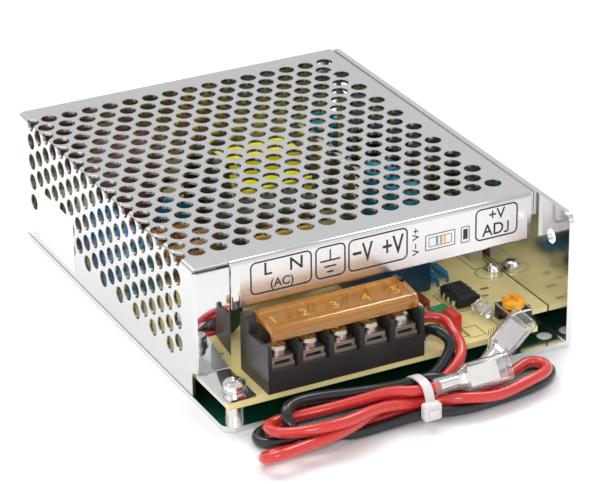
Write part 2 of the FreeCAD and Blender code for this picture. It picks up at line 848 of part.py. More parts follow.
def can(at, size):
    """An upright round capacitor with a bevelled top edge and a sunk top."""
    x, y = on_board(at)
    r = size[0] / 2.0
    h = size[1]
    outline = [(0, 0), (r, 0), (r, h - can_bevel), (r - can_bevel, h),
               (r - 2 * can_bevel, h), (r - 2 * can_bevel, h - can_bevel), (0, h - can_bevel)]
    return turned(outline, x, y, board_top)


def relay():
    """The output relay."""
    return crate(relay_at, relay_size, 0.0, 0.6)


def control_chip():
    """The controller's case, with the notch in its front end."""
    body = crate(chip_at, chip_size, chip_lift)
    x, y = on_board(chip_at)
    top = board_top + chip_lift + chip_size[2]
    return body.cut(rod(x, y - chip_size[1] / 2, top - 0.5, 1.6, 1.0))


def control_chip_pins():
    """The controller's pins: a shoulder from the case and a leg down to the board."""
    x, y = on_board(chip_at)
    mid = board_top + chip_lift + chip_size[2] / 2
    reach = 0.9
    shapes = []
    for side in (-1, 1):
        near_x = x + side * chip_size[0] / 2
        far_x = near_x + side * reach
        for k in range(chip_pins):
            y0 = y + (k - (chip_pins - 1) / 2.0) * chip_pin_pitch - chip_pin_width / 2
            y1 = y0 + chip_pin_width
            shoulder = box(min(near_x, far_x), y0, mid, max(near_x, far_x), y1, mid + chip_pin_t)
            leg_x = far_x if side < 0 else far_x - chip_pin_t
            leg = box(leg_x, y0, board_top, leg_x + chip_pin_t, y1, mid + chip_pin_t)
            shapes.append(joined([shoulder, leg]))
    return Part.makeCompound(shapes)


def indicator_led():
    """The clear light-emitting diode, laid on its side with its dome to the front."""
    x, y = on_board(led_at)
    r = led_d / 2.0
    z = board_top + led_height
    back = y
    front = y - led_length + r
    body = rod(x, front, z, led_d, back - front, (0, 1, 0))
    dome = Part.makeSphere(r, V(x, front, z))
    flange = rod(x, back, z, led_flange_d, led_flange, (0, 1, 0))
    shapes = [body, dome, flange]
    for side in (-1, 1):
        leg_x = x + side * led_pin_pitch / 2 - wire_t / 2
        bend_y = back + led_flange + led_bend
        shapes.append(box(leg_x, back + led_flange, z - wire_t / 2, leg_x + wire_t, bend_y,
                          z + wire_t / 2))
        shapes.append(box(leg_x, bend_y - wire_t, board_top, leg_x + wire_t, bend_y,
                          z + wire_t / 2))
    return joined(shapes)


def trimmer_body():
    """The adjuster's frame on four feet, with a bore for the knob's pin."""
    x, y = on_board(trimmer_at)
    w, d, h = trimmer_size
    body = crate(trimmer_at, (w, d, h - trimmer_foot), trimmer_foot)
    feet = []
    foot = trimmer_foot * 1.2
    for sx in (-1, 1):
        for sy in (-1, 1):
            fx = x + sx * (w / 2 - foot / 2)
            fy = y + sy * (d / 2 - foot / 2)
            feet.append(box(fx - foot / 2, fy - foot / 2, board_top, fx + foot / 2, fy + foot / 2,
                            board_top + trimmer_foot))
    body = joined([body] + feet)
    bore = rod(x, y, board_top, knob_pin_d + 2 * knob_play, trimmer_size[2] + 1)
    return body.cut(bore)


def trimmer_knob():
    """The adjuster's slotted knob with its pin."""
    x, y = on_board(trimmer_at)
    seat = board_top + trimmer_size[2] + knob_turn_gap
    top = seat + knob_height
    r = knob_d / 2.0
    head = turned([(0, 0), (r, 0), (r, knob_height * 0.7), (r - 0.5, knob_height),
                   (0, knob_height)], x, y, seat)
    pin = rod(x, y, board_top + trimmer_foot, knob_pin_d, seat - board_top - trimmer_foot)
    slot = box(x - knob_d, y - 0.45, top - 0.9, x + knob_d, y + 0.45, top + 1)
    cross = box(x - 0.45, y - knob_d * 0.32, top - 0.9, x + 0.45, y + knob_d * 0.32, top + 1)
    return head.fuse(pin).cut(slot).cut(cross).removeSplitter()


def lying_part(x, y, length, d, span):
    """A small round part held above the board by its two bent wires, along Y."""
    z = board_top + d / 2.0 + 0.4
    body = rod(x, y - length / 2, z, d, length, (0, 1, 0))
    shapes = [body]
    for side in (-1, 1):
        a = y + side * length / 2
        b = y + side * span / 2
        shapes.append(box(x - wire_t / 2, min(a, b), z - wire_t / 2, x + wire_t / 2, max(a, b),
                          z + wire_t / 2))
        leg = b if side < 0 else b - wire_t
        shapes.append(box(x - wire_t / 2, leg, board_top, x + wire_t / 2, leg + wire_t,
                          z + wire_t / 2))
    return joined(shapes)


def small_resistors():
    """The pair of blue resistors."""
    shapes = []
    for at in resistor_points:
        x, y = on_board(at)
        shapes.append(lying_part(x, y, resistor_length, resistor_d, resistor_pitch))
    return Part.makeCompound(shapes)


def small_diode():
    """The small glass diode."""
    x, y = on_board(diode_at)
    return lying_part(x, y, resistor_length * 0.8, resistor_d, resistor_pitch * 0.8)


def fuse_tube():
    """The glass tube of the input fuse."""
    x, y = on_board(fuse_at)
    return rod(x, y - fuse_length / 2, board_top + fuse_lift, fuse_d - 0.4, fuse_length, (0, 1, 0))


def fuse_caps():
    """The fuse's metal end caps, each on its foot."""
    x, y = on_board(fuse_at)
    z = board_top + fuse_lift
    bore = rod(x, y - fuse_length, z, fuse_d - 0.4, 2 * fuse_length, (0, 1, 0))
    shapes = []
    for y0 in (y - fuse_length / 2, y + fuse_length / 2 - fuse_cap_length):
        cap = rod(x, y0, z, fuse_d, fuse_cap_length, (0, 1, 0))
        foot = box(x - fuse_d / 2, y0, board_top, x + fuse_d / 2, y0 + fuse_cap_length, z)
        shapes.append(joined([cap, foot]).cut(bore))
    return Part.makeCompound(shapes)


def disc(at, size):
    """A coated disc that stands on edge."""
    x, y = on_board(at)
    d, t = size
    body = rod(x, y - t / 2, board_top + disc_lift + d / 2, d, t, (0, 1, 0))
    shapes = [body]
    for side in (-1, 1):
        wx = x + side * d * 0.25
        shapes.append(box(wx - wire_t / 2, y - wire_t / 2, board_top, wx + wire_t / 2,
                          y + wire_t / 2, board_top + disc_lift + d * 0.2))
    return joined(shapes)


def frame_core(at, size):
    """A ferrite core: a frame with a middle leg, seen along the case's length."""
    x, y = on_board(at)
    w, d, h = size
    z = board_top + core_lift
    body = box(x - w / 2, y - d / 2, z, x + w / 2, y + d / 2, z + h)
    window = (w - core_middle_leg) / 2 - core_leg
    for side in (-1, 1):
        middle = x + side * (core_middle_leg / 2 + window / 2)
        body = body.cut(box(middle - window / 2, y - d, z + core_leg, middle + window / 2,
                            y + d, z + h - core_leg))
    return body


def winding(at, core_size, size, core):
    """A taped winding round a core's middle leg."""
    x, y = on_board(at)
    w, d = size
    z = board_top + core_lift + core_leg
    height = core_size[2] - 2 * core_leg
    body = box(x - w / 2, y - d / 2, z, x + w / 2, y + d / 2, z + height)
    body = body.makeFillet(1.5, edges_along(body, (0, 0, 1), lambda p: True))
    return body.cut(core)


def transformer_core():
    """The main transformer's ferrite core."""
    return frame_core(transformer_at, transformer_size)


def transformer_winding():
    """The main transformer's taped winding."""
    return winding(transformer_at, transformer_size, transformer_winding_size, transformer_core())


def transformer_bobbin():
    """The moulded foot of the main transformer."""
    return crate(transformer_at, bobbin_size)


def input_choke_core():
    """The line choke's ferrite core on its moulded foot."""
    x, y = on_board(choke_at)
    foot = crate(choke_at, (choke_size[0], choke_size[1], core_lift))
    return joined([frame_core(choke_at, choke_size), foot])


def input_choke_winding():
    """The line choke's winding."""
    core = frame_core(choke_at, choke_size)
    return winding(choke_at, choke_size, choke_winding_size, core)


def wound_ring(at, size):
    """A wound ring core that lies on the board."""
    x, y = on_board(at)
    middle, half = size
    inner = middle - half
    outer = middle + half
    c = ring_bevel
    h = 2 * half
    outline = [(inner + c, 0), (outer - c, 0), (outer, c), (outer, h - c), (outer - c, h),
               (inner + c, h), (inner, h - c), (inner, c)]
    return turned(outline, x, y, board_top)


def bridge_rectifier():
    """The bridge rectifier, standing on four wires."""
    x, y = on_board(bridge_at)
    shapes = [crate(bridge_at, bridge_size, bridge_lift)]
    for k in range(4):
        wx = x + (k - 1.5) * bridge_size[0] * 0.26
        shapes.append(box(wx - wire_t / 2, y - wire_t / 2, board_top, wx + wire_t / 2,
                          y + wire_t / 2, board_top + bridge_lift))
    return joined(shapes)


def heat_sink(x, side):
    """An upright metal plate with its foot turned to one side."""
    y0 = sink_y[0]
    y1 = sink_y[1]
    plate = box(x, y0, board_top, x + sink_t, y1, board_top + sink_height)
    if side < 0:
        foot = box(x - sink_foot, y0, board_top, x, y0 + sink_foot, board_top + sink_t)
    else:
        foot = box(x + sink_t, y0, board_top, x + sink_t + sink_foot, y0 + sink_foot,
                   board_top + sink_t)
    return joined([plate, foot])


def power_transistor(x, y, side):
    """A power transistor bolted to a plate: metal tab and moulded body on three wires."""
    t, w, h = transistor_size
    z = board_top + transistor_lift
    if side > 0:
        tab = box(x, y - w / 2, z, x + transistor_tab_t, y + w / 2, z + h + transistor_tab)
        body = box(x + transistor_tab_t, y - w / 2, z, x + t, y + w / 2, z + h)
    else:
        tab = box(x - transistor_tab_t, y - w / 2, z, x, y + w / 2, z + h + transistor_tab)
        body = box(x - t, y - w / 2, z, x - transistor_tab_t, y + w / 2, z + h)
    shapes = [tab, body]
    wx = x + side * t * 0.6
    for k in (-1, 0, 1):
        wy = y + k * transistor_pin_pitch
        shapes.append(box(wx - wire_t / 2, wy - wire_t / 2, board_top, wx + wire_t / 2,
                          wy + wire_t / 2, z))
    return joined(shapes)


def transistors():
    """The power transistors and the output rectifiers on the two plates."""
    inner = inner_sink_x + sink_t
    shapes = [power_transistor(inner, y, 1) for y in transistor_y]
    shapes += [power_transistor(outer_sink_x, y, -1) for y in transistor_y]
    return Part.makeCompound(shapes)


# Battery leads


def rounded_route(points):
    """A path of straight runs joined by tangent arcs, with the radius of each arc."""
    edges = []
    radii = []
    start = V(*points[0])
    for i in range(1, len(points) - 1):
        corner = V(*points[i])
        back = V(*points[i - 1]) - corner
        ahead = V(*points[i + 1]) - corner
        reach = 0.45 * min(back.Length, ahead.Length)
        back.normalize()
        ahead.normalize()
        turn = math.pi - back.getAngle(ahead)
        radius = reach / math.tan(turn / 2)
        inward = (back + ahead).normalize()
        middle = corner + inward * (radius / math.cos(turn / 2) - radius)
        edges.append(Part.LineSegment(start, corner + back * reach).toShape())
        edges.append(Part.Arc(corner + back * reach, middle, corner + ahead * reach).toShape())
        start = corner + ahead * reach
        radii.append(radius)
    edges.append(Part.LineSegment(start, V(*points[-1])).toShape())
    return Part.Wire(edges), radii


def lead(name, points):
    """One lead as a round tube along its route. Prints its radii and compares its volume."""
    path, radii = rounded_route(points)
    direction = V(*points[1]) - V(*points[0])
    circle = Part.Wire(Part.makeCircle(lead_d / 2.0, V(*points[0]), direction))
    tube = path.makePipeShell([circle], True, False)
    expected = math.pi * lead_d ** 2 / 4.0 * path.Length
    print("%s length %.1f volume %.1f of %.1f" % (name, path.Length, tube.Volume, expected))
    print("%s radii %s" % (name, " ".join("%.1f" % r for r in radii)))
    return tube


def red_lead():
    """The red lead."""
    return lead("red lead", red_route)


def black_lead():
    """The black lead."""
    return lead("black lead", black_route)


def lead_holder():
    """The white wire holder round both leads where they come out of the board."""
    x = 0.5 * (red_route[0][0] + black_route[0][0])
    y = 0.5 * (red_route[0][1] + black_route[0][1])
    w, d, h = lead_holder_size
    body = box(x - w / 2, y - d / 2, board_top, x + w / 2, y + d / 2, board_top + h)
    for route in (red_route, black_route):
        body = body.cut(rod(route[0][0], route[0][1], board_top - 1, lead_d + 2 * lead_holder_play,
                            h + 2))
    return body


def crossings(points, x):
    """Where a route's runs cross the plane of the tie, as (y, z)."""
    found = []
    for a, b in zip(points[:-1], points[1:]):
        if (a[0] - x) * (b[0] - x) < 0:
            s = (x - a[0]) / (b[0] - a[0])
            found.append((a[1] + s * (b[1] - a[1]), a[2] + s * (b[2] - a[2])))
    return found


def hull(points):
    """The convex outline round a set of (y, z) points, anticlockwise."""
    points = sorted(points)

    def half(sequence):
        chain = []
        for p in sequence:
            while len(chain) > 1:
                (ax, ay), (bx, by) = chain[-2], chain[-1]
                if (bx - ax) * (p[1] - ay) - (by - ay) * (p[0] - ax) > 0:
                    break
                chain.pop()
            chain.append(p)
        return chain[:-1]

    return half(points) + half(points[::-1])


def lead_tie():
    """The tie: a band drawn round all the strands, with its head at the front."""
    middles = hull(crossings(red_route, tie_x) + crossings(black_route, tie_x))
    corners = [V(tie_x - tie_width / 2, y, z) for y, z in middles]
    outline = Part.makePolygon(corners + corners[:1])
    inner = outline.makeOffset2D(lead_d / 2.0 + tie_gap)
    outer = outline.makeOffset2D(lead_d / 2.0 + tie_gap + tie_t)
    run = V(tie_width, 0, 0)
    band = Part.Face(outer).extrude(run)
    hole = Part.Face(inner).extrude(run)
    front = outer.BoundBox.YMin
    w, d, h = tie_head
    x = tie_x - tie_head_shift
    head = box(x - w / 2, front - d, 0, x + w / 2, front + tie_t / 2, h)
    head = head.makeFillet(0.8, edges_along(head, (0, 0, 1), lambda p: p.y < front - d / 2))
    return joined([band.cut(hole), head])


def octagon(s, half_w, half_t):
    """An eight-sided section across the local X axis."""
    c = half_t * 0.6
    corners = [(half_w, half_t - c), (half_w - c, half_t), (c - half_w, half_t), (-half_w, half_t - c),
               (-half_w, c - half_t), (c - half_w, -half_t), (half_w - c, -half_t), (half_w, c - half_t)]
    points = [V(s, y, z) for y, z in corners]
    return Part.makePolygon(points + points[:1])


def placed_on_lead(shape, route, lean):
    """A shape made along the local X axis, moved to a lead's free end and leant over."""
    end = V(*route[-1])
    along = (end - V(*route[-2])).normalize()
    lean = V(*lean)
    across = (lean - along * along.dot(lean)).normalize()
    turn = FreeCAD.Rotation(along, across, along.cross(across), "XYZ")
    moved = shape.copy()
    moved.Placement = FreeCAD.Placement(end, turn)
    return moved


def sleeve():
    """A clear sleeve along the local X axis: a neck, a taper and a wide open end."""
    stations = [(-sleeve_overlap, neck_half_width), (neck_length - sleeve_overlap, neck_half_width),
                (neck_length + taper_length - sleeve_overlap, blade_half_width),
                (neck_length + taper_length + blade_length - sleeve_overlap, blade_half_width)]
    outer = Part.makeLoft([octagon(s, w, sleeve_half_t) for s, w in stations], True, True)
    inside = [(s, w - sleeve_wall) for s, w in stations]
    inside[0] = (inside[0][0] - 1.0, inside[0][1])
    inside[-1] = (inside[-1][0] + 1.0, inside[-1][1])
    hole = Part.makeLoft([octagon(s, w, sleeve_half_t - sleeve_wall * 0.8) for s, w in inside],
                         True, True)
    return outer.cut(hole)


def spade_terminal():
    """A spade terminal along the local X axis: wire barrel, strip and rolled receptacle."""
    start = neck_length + taper_length - sleeve_overlap
    half_w = blade_half_width - sleeve_wall - receptacle_play
    t = receptacle_plate_t
    barrel = rod(0, 0, 0, lead_d, barrel_length, (1, 0, 0))
    strip = box(barrel_length - 1.0, -lead_d / 2.4, -t / 2, start, lead_d / 2.4, t / 2)
    low = -receptacle_t / 2
    plate = box(start, -half_w, low, start + receptacle_length, half_w, low + t)
    link = box(start - 1.0, -lead_d / 2.4, low, start + 1.0, lead_d / 2.4, t / 2)
    curls = []
    for side in (-1, 1):
        y0 = min(side * half_w, side * (half_w - receptacle_curl))
        curls.append(box(start, y0, low + t, start + receptacle_length, y0 + receptacle_curl,
                         receptacle_t / 2))
    return joined([barrel, strip, link, plate] + curls)


def lead_sleeves():
    """The clear sleeves on both spade terminals."""
    return Part.makeCompound([placed_on_lead(sleeve(), red_route, red_sleeve_lean),
                              placed_on_lead(sleeve(), black_route, black_sleeve_lean)])


def spade_terminals():
    """The spade terminals at the free ends of both leads."""
    return Part.makeCompound([placed_on_lead(spade_terminal(), red_route, red_sleeve_lean),
                              placed_on_lead(spade_terminal(), black_route, black_sleeve_lean)])


PARTS = {
    "base_chassis": chassis,
    "perforated_cover": cover,
    "circuit_board": board,
    "board_spacers": spacers,
    "board_screws": board_screws,
    "cover_side_screws": side_screws,
    "tab_screw": tab_screw,
    "tab_washer": tab_washer,
    "tab_spring_washer": tab_spring_washer,
    "front_label": front_label,
    "side_sticker": side_sticker,
    "terminal_block": terminal_block,
    "terminal_tongues": terminal_tongues,
    "terminal_clamps": terminal_clamps,
    "terminal_flap": terminal_flap,
    "output_relay": relay,
    "control_chip": control_chip,
    "control_chip_pins": control_chip_pins,
    "indicator_led": indicator_led,
    "trimmer_body": trimmer_body,
    "trimmer_knob": trimmer_knob,
    "small_resistors": small_resistors,
    "small_diode": small_diode,
    "green_capacitor": lambda: crate(green_cap_at, green_cap_size),
    "red_capacitor": lambda: crate(red_cap_at, red_cap_size),
    "white_socket": lambda: crate(white_socket_at, white_socket_size),
    "side_capacitor": lambda: crate(side_cap_at, side_cap_size),
    "blue_line_capacitor": lambda: crate(x_cap_at, x_cap_size),
    "grey_line_capacitor": lambda: crate(grey_cap_at, grey_cap_size),
    "isolator": lambda: crate(isolator_at, isolator_size),
    "fuse_tube": fuse_tube,
    "fuse_caps": fuse_caps,
    "thermistor": lambda: disc(thermistor_at, thermistor_size),
    "varistor": lambda: disc(varistor_at, varistor_size),
    "bulk_capacitor": lambda: can(bulk_cap_at, bulk_cap_size),
    "output_capacitors": lambda: Part.makeCompound([can(at, output_cap_size)
                                                    for at in output_cap_points]),
    "input_choke_core": input_choke_core,
    "input_choke_winding": input_choke_winding,
    "transformer_core": transformer_core,
    "transformer_winding": transformer_winding,
    "transformer_bobbin": transformer_bobbin,
    "input_ring_choke": lambda: wound_ring(input_ring_at, input_ring_size),
    "output_ring_choke": lambda: wound_ring(output_ring_at, output_ring_size),
    "bridge_rectifier": bridge_rectifier,
    "inner_heat_sink": lambda: heat_sink(inner_sink_x, -1),
    "outer_heat_sink": lambda: heat_sink(outer_sink_x, 1),
    "power_transistors": transistors,
    "lead_holder": lead_holder,
    "red_lead": red_lead,
    "black_lead": black_lead,
    "lead_tie": lead_tie,
    "lead_sleeves": lead_sleeves,
    "spade_terminals": spade_terminals,
}


def write(name, shape):
    """Move a piece into the part's own frame and save it."""
    shape.translate(V(-(case_width + side_screw_head_h - label_t) / 2.0, -case_length / 2.0, 0))
    shape.exportStep("parts/%s.step" % name)


def main():
    """Build every piece and write it to its own file."""
    os.makedirs("parts", exist_ok=True)
    for name, make in PARTS.items():
        write(name, make())
    for k in range(poles):
        write("terminal_screw_%d" % (k + 1), terminal_screw(k))


main()
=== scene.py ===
"""Looks for an enclosed switching power supply with a perforated cover and battery leads.

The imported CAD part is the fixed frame. This script gives its nodes procedural finishes and adds
the pieces that need finer forms: the cover with round holes, the clear flip cover, the print on
the front film, the board's dark lines, both leads and their clear sleeves.
"""

import json
import logging
import math
from dataclasses import dataclass, replace
from enum import Enum
from typing import Any, Callable, Iterable, Sequence, Union

import bmesh
import bpy
from mathutils import Matrix, Vector
from mathutils.geometry import delaunay_2d_cdt

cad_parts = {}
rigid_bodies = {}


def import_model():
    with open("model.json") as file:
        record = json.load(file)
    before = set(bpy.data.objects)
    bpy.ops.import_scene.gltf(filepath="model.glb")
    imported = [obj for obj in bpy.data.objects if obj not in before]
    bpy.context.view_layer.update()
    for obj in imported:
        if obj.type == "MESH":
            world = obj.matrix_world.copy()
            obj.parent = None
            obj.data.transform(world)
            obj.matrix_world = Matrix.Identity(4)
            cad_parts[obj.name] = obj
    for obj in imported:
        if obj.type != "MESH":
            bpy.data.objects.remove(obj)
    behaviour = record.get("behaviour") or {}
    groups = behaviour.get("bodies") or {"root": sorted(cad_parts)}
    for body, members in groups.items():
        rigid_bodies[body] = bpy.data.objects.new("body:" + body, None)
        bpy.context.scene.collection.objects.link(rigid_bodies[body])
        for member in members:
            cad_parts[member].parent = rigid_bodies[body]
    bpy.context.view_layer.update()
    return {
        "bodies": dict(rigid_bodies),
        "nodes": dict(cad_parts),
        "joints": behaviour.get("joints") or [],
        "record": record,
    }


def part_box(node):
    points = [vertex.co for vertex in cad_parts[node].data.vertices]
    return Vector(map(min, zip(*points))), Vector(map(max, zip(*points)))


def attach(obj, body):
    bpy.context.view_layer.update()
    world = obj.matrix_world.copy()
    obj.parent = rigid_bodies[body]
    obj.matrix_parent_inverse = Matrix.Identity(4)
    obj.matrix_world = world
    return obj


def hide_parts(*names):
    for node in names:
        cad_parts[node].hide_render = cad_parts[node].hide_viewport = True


LOG = logging.getLogger("scene")

Pair = tuple[float, float]
Triple = tuple[float, float, float]
Place = Callable[[float, float, float], Vector]

# All sizes are in millimetres from the case's outer front left corner, unless a name says
# otherwise. The frame is in metres from the middle of the case's base.
MM = 0.001
ORIGIN_X = 49.75
ORIGIN_Y = 64.5
LEAD_D = 2.8
QUARTER = math.pi / 2.0


@dataclass(frozen=True)
class Case:
    """Sizes of the case that several pieces share."""

    height: float = 37.0
    sheet: float = 0.8
    cover_right: float = 96.4
    cover_front: float = 16.4
    cover_back: float = 128.6
    board_top: float = 7.8
    underside_depth: float = 1.55


CASE = Case()

# Middle lines of the two leads, from the board to their crimped ends.
RED_ROUTE = [
    (57.2, 11.0, 7.8), (57.2, 11.0, 10.4), (59.4, 10.5, 13.0), (65.0, 8.1, 12.6),
    (65.1, 3.0, 10.6), (64.1, -3.1, 9.5), (60.6, -7.5, 8.0), (55.2, -9.1, 5.4),
    (49.0, -11.2, 4.9), (42.0, -11.5, 4.9), (35.9, -13.0, 4.9), (30.5, -15.4, 4.5),
    (24.4, -18.6, 4.9), (17.3, -20.0, 4.5), (10.1, -20.7, 4.4), (3.5, -22.5, 4.9),
    (0.7, -20.1, 3.5), (1.7, -16.6, 1.8), (5.6, -15.6, 1.5), (12.7, -16.4, 1.5),
    (20.7, -13.9, 1.6), (30.0, -13.3, 1.5), (40.1, -13.0, 2.2), (50.0, -12.6, 2.4),
    (60.0, -13.2, 1.6), (68.0, -12.6, 2.2), (74.4, -10.7, 3.6), (79.7, -8.9, 4.4),
    (82.7, -11.8, 4.5), (81.5, -15.9, 4.5), (74.4, -18.3, 4.6), (64.2, -20.4, 3.8),
    (54.6, -19.3, 5.4), (49.8, -14.8, 3.7), (42.1, -15.2, 4.9), (35.6, -15.9, 6.4),
    (29.6, -17.7, 7.4), (22.6, -20.1, 7.7), (15.4, -19.6, 7.5), (9.4, -16.4, 6.2),
    (6.6, -11.6, 5.0), (7.4, -7.2, 4.4), (12.4, -6.0, 4.3), (18.0, -7.6, 4.9),
    (24.5, -9.6, 6.0), (31.5, -11.2, 7.1), (38.9, -12.5, 8.2), (45.0, -15.3, 7.7),
    (50.4, -15.5, 8.0),
]
BLACK_ROUTE = [
    (57.2, 6.4, 7.8), (57.2, 6.4, 9.0), (57.6, 5.8, 11.0), (59.3, 3.5, 13.1),
    (62.1, -1.7, 11.2), (58.1, -4.9, 7.6), (53.3, -6.7, 5.4), (47.0, -8.0, 4.6),
    (40.0, -6.6, 3.4), (33.0, -4.4, 2.0), (25.0, -3.3, 1.5), (17.0, -3.3, 1.5),
    (9.6, -3.6, 1.5), (5.0, -5.8, 1.5), (4.6, -9.8, 1.5), (8.4, -12.7, 1.9),
    (12.3, -14.4, 4.2), (17.5, -16.1, 4.8), (21.9, -16.8, 2.7), (27.0, -16.7, 1.5),
    (36.0, -16.1, 1.5), (45.5, -17.0, 2.5), (54.1, -19.6, 2.1), (63.9, -18.4, 1.5),
    (73.0, -17.7, 1.6), (81.1, -15.4, 1.5), (85.8, -11.1, 1.5), (83.6, -6.5, 1.5),
    (77.0, -6.8, 1.5), (69.0, -8.6, 1.5), (60.0, -9.3, 1.7), (50.0, -9.6, 2.4),
    (40.0, -10.0, 2.2), (31.0, -10.2, 1.5), (22.9, -10.7, 1.5), (16.9, -11.9, 1.5),
    (13.2, -11.8, 2.5), (11.7, -10.2, 5.6), (12.6, -7.2, 7.5), (16.5, -5.0, 7.4),
    (22.5, -4.9, 7.1), (30.0, -6.9, 7.0), (38.0, -8.6, 7.0), (44.4, -10.5, 7.7),
    (50.8, -11.3, 8.5), (56.2, -12.3, 6.3), (60.9, -12.3, 4.6), (66.4, -9.6, 6.5),
]


def mm(x: float, y: float, z: float) -> Vector:
    """Find a point of the drawing in the part's frame.

    Args:
        x, y, z: millimetres from the case's outer front left corner.

    Returns:
        The point in metres.
    """
    return Vector(((x - ORIGIN_X) * MM, (y - ORIGIN_Y) * MM, z * MM))


def along_x(a: float, b: float, s: float) -> Vector:
    """Returns: the point at (a, b) of a section across X, at station s."""
    return mm(s, a, b)


def along_y(a: float, b: float, s: float) -> Vector:
    """Returns: the point at (a, b) of a section across Y, at station s."""
    return mm(a, s, b)


def along_z(a: float, b: float, s: float) -> Vector:
    """Returns: the point at (a, b) of a level section, at height s."""
    return mm(a, b, s)


# Materials


class Pattern(Enum):
    """How a finish varies over its surface."""

    MOULDED = "moulded"
    SHEET = "sheet"
    FOLDED = "folded"
    LAMINATE = "laminate"
    WOUND = "wound"
    TAPED = "taped"


class Signal:
    """A socket's value, worked on with Python's operators."""

    def __init__(self, shader: "Shader", socket: bpy.types.NodeSocket) -> None:
        """Wrap one output socket.

        Args:
            shader: the material under construction.
            socket: the output that carries the value.
        """
        self.shader = shader
        self.socket = socket

    def _math(self, operation: str, first: "Value", second: "Value" = 0.0) -> "Signal":
        """Returns: the result of one Math node on one or two values."""
        return self.shader.node("ShaderNodeMath", {"operation": operation}, {0: first, 1: second})

    def __add__(self, other: "Value") -> "Signal":
        """Returns: the sum."""
        return self._math("ADD", self, other)

    def __radd__(self, other: float) -> "Signal":
        """Returns: the sum with a number on the left."""
        return self._math("ADD", other, self)

    def __sub__(self, other: "Value") -> "Signal":
        """Returns: the difference."""
        return self._math("SUBTRACT", self, other)

    def __rsub__(self, other: float) -> "Signal":
        """Returns: the difference from a number on the left."""
        return self._math("SUBTRACT", other, self)

    def __mul__(self, other: "Value") -> "Signal":
        """Returns: the product."""
        return self._math("MULTIPLY", self, other)

    def __rmul__(self, other: float) -> "Signal":
        """Returns: the product with a number on the left."""
        return self._math("MULTIPLY", other, self)

    def above(self, level: float) -> "Signal":
        """Returns: 1 where the value is over a level, else 0."""
        return self._math("GREATER_THAN", self, level)

    def below(self, level: float) -> "Signal":
        """Returns: 1 where the value is under a level, else 0."""
        return self._math("LESS_THAN", self, level)

    def wave(self) -> "Signal":
        """Returns: the value's sine, brought between 0 and 1."""
        return 0.5 + 0.5 * self._math("SINE", self)

    def between(self, first: "Color", second: "Color") -> "Signal":
        """Blend two colours by this value.

        Args:
            first: the colour where the value is 0.
            second: the colour where the value is 1.

        Returns:
            The blended colour.
        """
        ends = [end if isinstance(end, Signal) else (*end, 1.0) for end in (first, second)]
        sockets = {"Factor": self, COLOR_A: ends[0], COLOR_B: ends[1]}
        return self.shader.node("ShaderNodeMix", {"data_type": "RGBA"}, sockets, COLOR_RESULT)


Value = Union[Signal, float]
Color = Union[Signal, Triple]

# Places of the colour sockets on a Mix node, whose names repeat.
COLOR_A = 6
COLOR_B = 7
COLOR_RESULT = 2


class Shader:
    """A material under construction: its coordinates, its noises and its surface."""

    def __init__(self, name: str) -> None:
        """Start a material.

        Args:
            name: the material's name.
        """
        self.material = bpy.data.materials.new(name)
        self.material.use_nodes = True
        self.tree = self.material.node_tree
        self.surface = self.tree.nodes["Principled BSDF"]
        self.coords = self.node("ShaderNodeTexCoord", {}, {}, "Object")
        self.x, self.y, self.z = [
            self.node("ShaderNodeSeparateXYZ", {}, {0: self.coords}, axis) for axis in "XYZ"]

    def node(self, kind: str, settings: dict[str, Any], inputs: dict[Union[int, str], Any],
             output: Union[int, str] = 0) -> Signal:
        """Add one node.

        Args:
            kind: the node's type.
            settings: its own settings, which are set first.
            inputs: values or signals for its sockets.
            output: the socket that is wanted.

        Returns:
            That socket as a signal.
        """
        node = self.tree.nodes.new(kind)
        for name, value in settings.items():
            setattr(node, name, value)
        for name, value in inputs.items():
            self.plug(node.inputs[name], value)
        return Signal(self, node.outputs[output])

    def plug(self, socket: bpy.types.NodeSocket, value: Any) -> None:
        """Link a signal to a socket, or set the socket to a plain value.

        Args:
            socket: the input socket.
            value: the signal or the plain value.
        """
        if isinstance(value, Signal):
            self.tree.links.new(value.socket, socket)
        else:
            socket.default_value = value

    def dress(self, name: str, value: Any) -> None:
        """Give one of the surface's sockets a signal or a plain value."""
        self.plug(self.surface.inputs[name], value)

    def noise(self, scale: float, stretch: Triple = (1.0, 1.0, 1.0), detail: float = 3.0) -> Signal:
        """Add smooth noise about 0.5.

        Args:
            scale: cells to a metre.
            stretch: factors along the three axes.
            detail: finer layers on top.

        Returns:
            The noise.
        """
        place = self.node("ShaderNodeMapping", {}, {"Vector": self.coords, "Scale": stretch})
        return self.node("ShaderNodeTexNoise", {},
                         {"Vector": place, "Scale": scale, "Detail": detail})

    def relief(self, height: Signal, strength: float, depth: float = 0.0002) -> None:
        """Turn a height into bump.

        Args:
            height: the height, from 0 to 1.
            strength: how much of it shows.
            depth: what a height of 1 stands for, in metres.
        """
        self.dress("Normal", self.node(
            "ShaderNodeBump", {}, {"Strength": strength, "Distance": depth, "Height": height}))


@dataclass(frozen=True)
class Surface:
    """What a pattern gives: colour, roughness and height."""

    color: Signal
    rough: Signal
    height: Signal


@dataclass(frozen=True)
class PatternScale:
    """Scales, levels and shares of the patterns."""

    coat_rough: float = 0.08
    cloud: float = 0.25
    cloud_detail: float = 2.0
    grain: float = 4.0
    gloss_spread: float = 0.12
    sheet_streak: Triple = (1.0, 0.06, 1.0)
    sheet_swell: float = 60.0
    sheet_swell_share: float = 0.8
    sheet_streak_share: float = 0.05
    front_rough: float = 0.06
    front_depth: float = 0.85
    trace: float = 140.0
    trace_level: float = 0.53
    trace_share: float = 0.25
    trace_shade: float = 0.8
    wire_x: float = 9000.0
    wire_y: float = 6000.0
    tape_z: float = 2600.0
    tape_color_share: float = 0.3
    tape_cloud_share: float = 0.5
    tape_height_share: float = 0.5
    tape_grain_share: float = 0.2


SCALE = PatternScale()


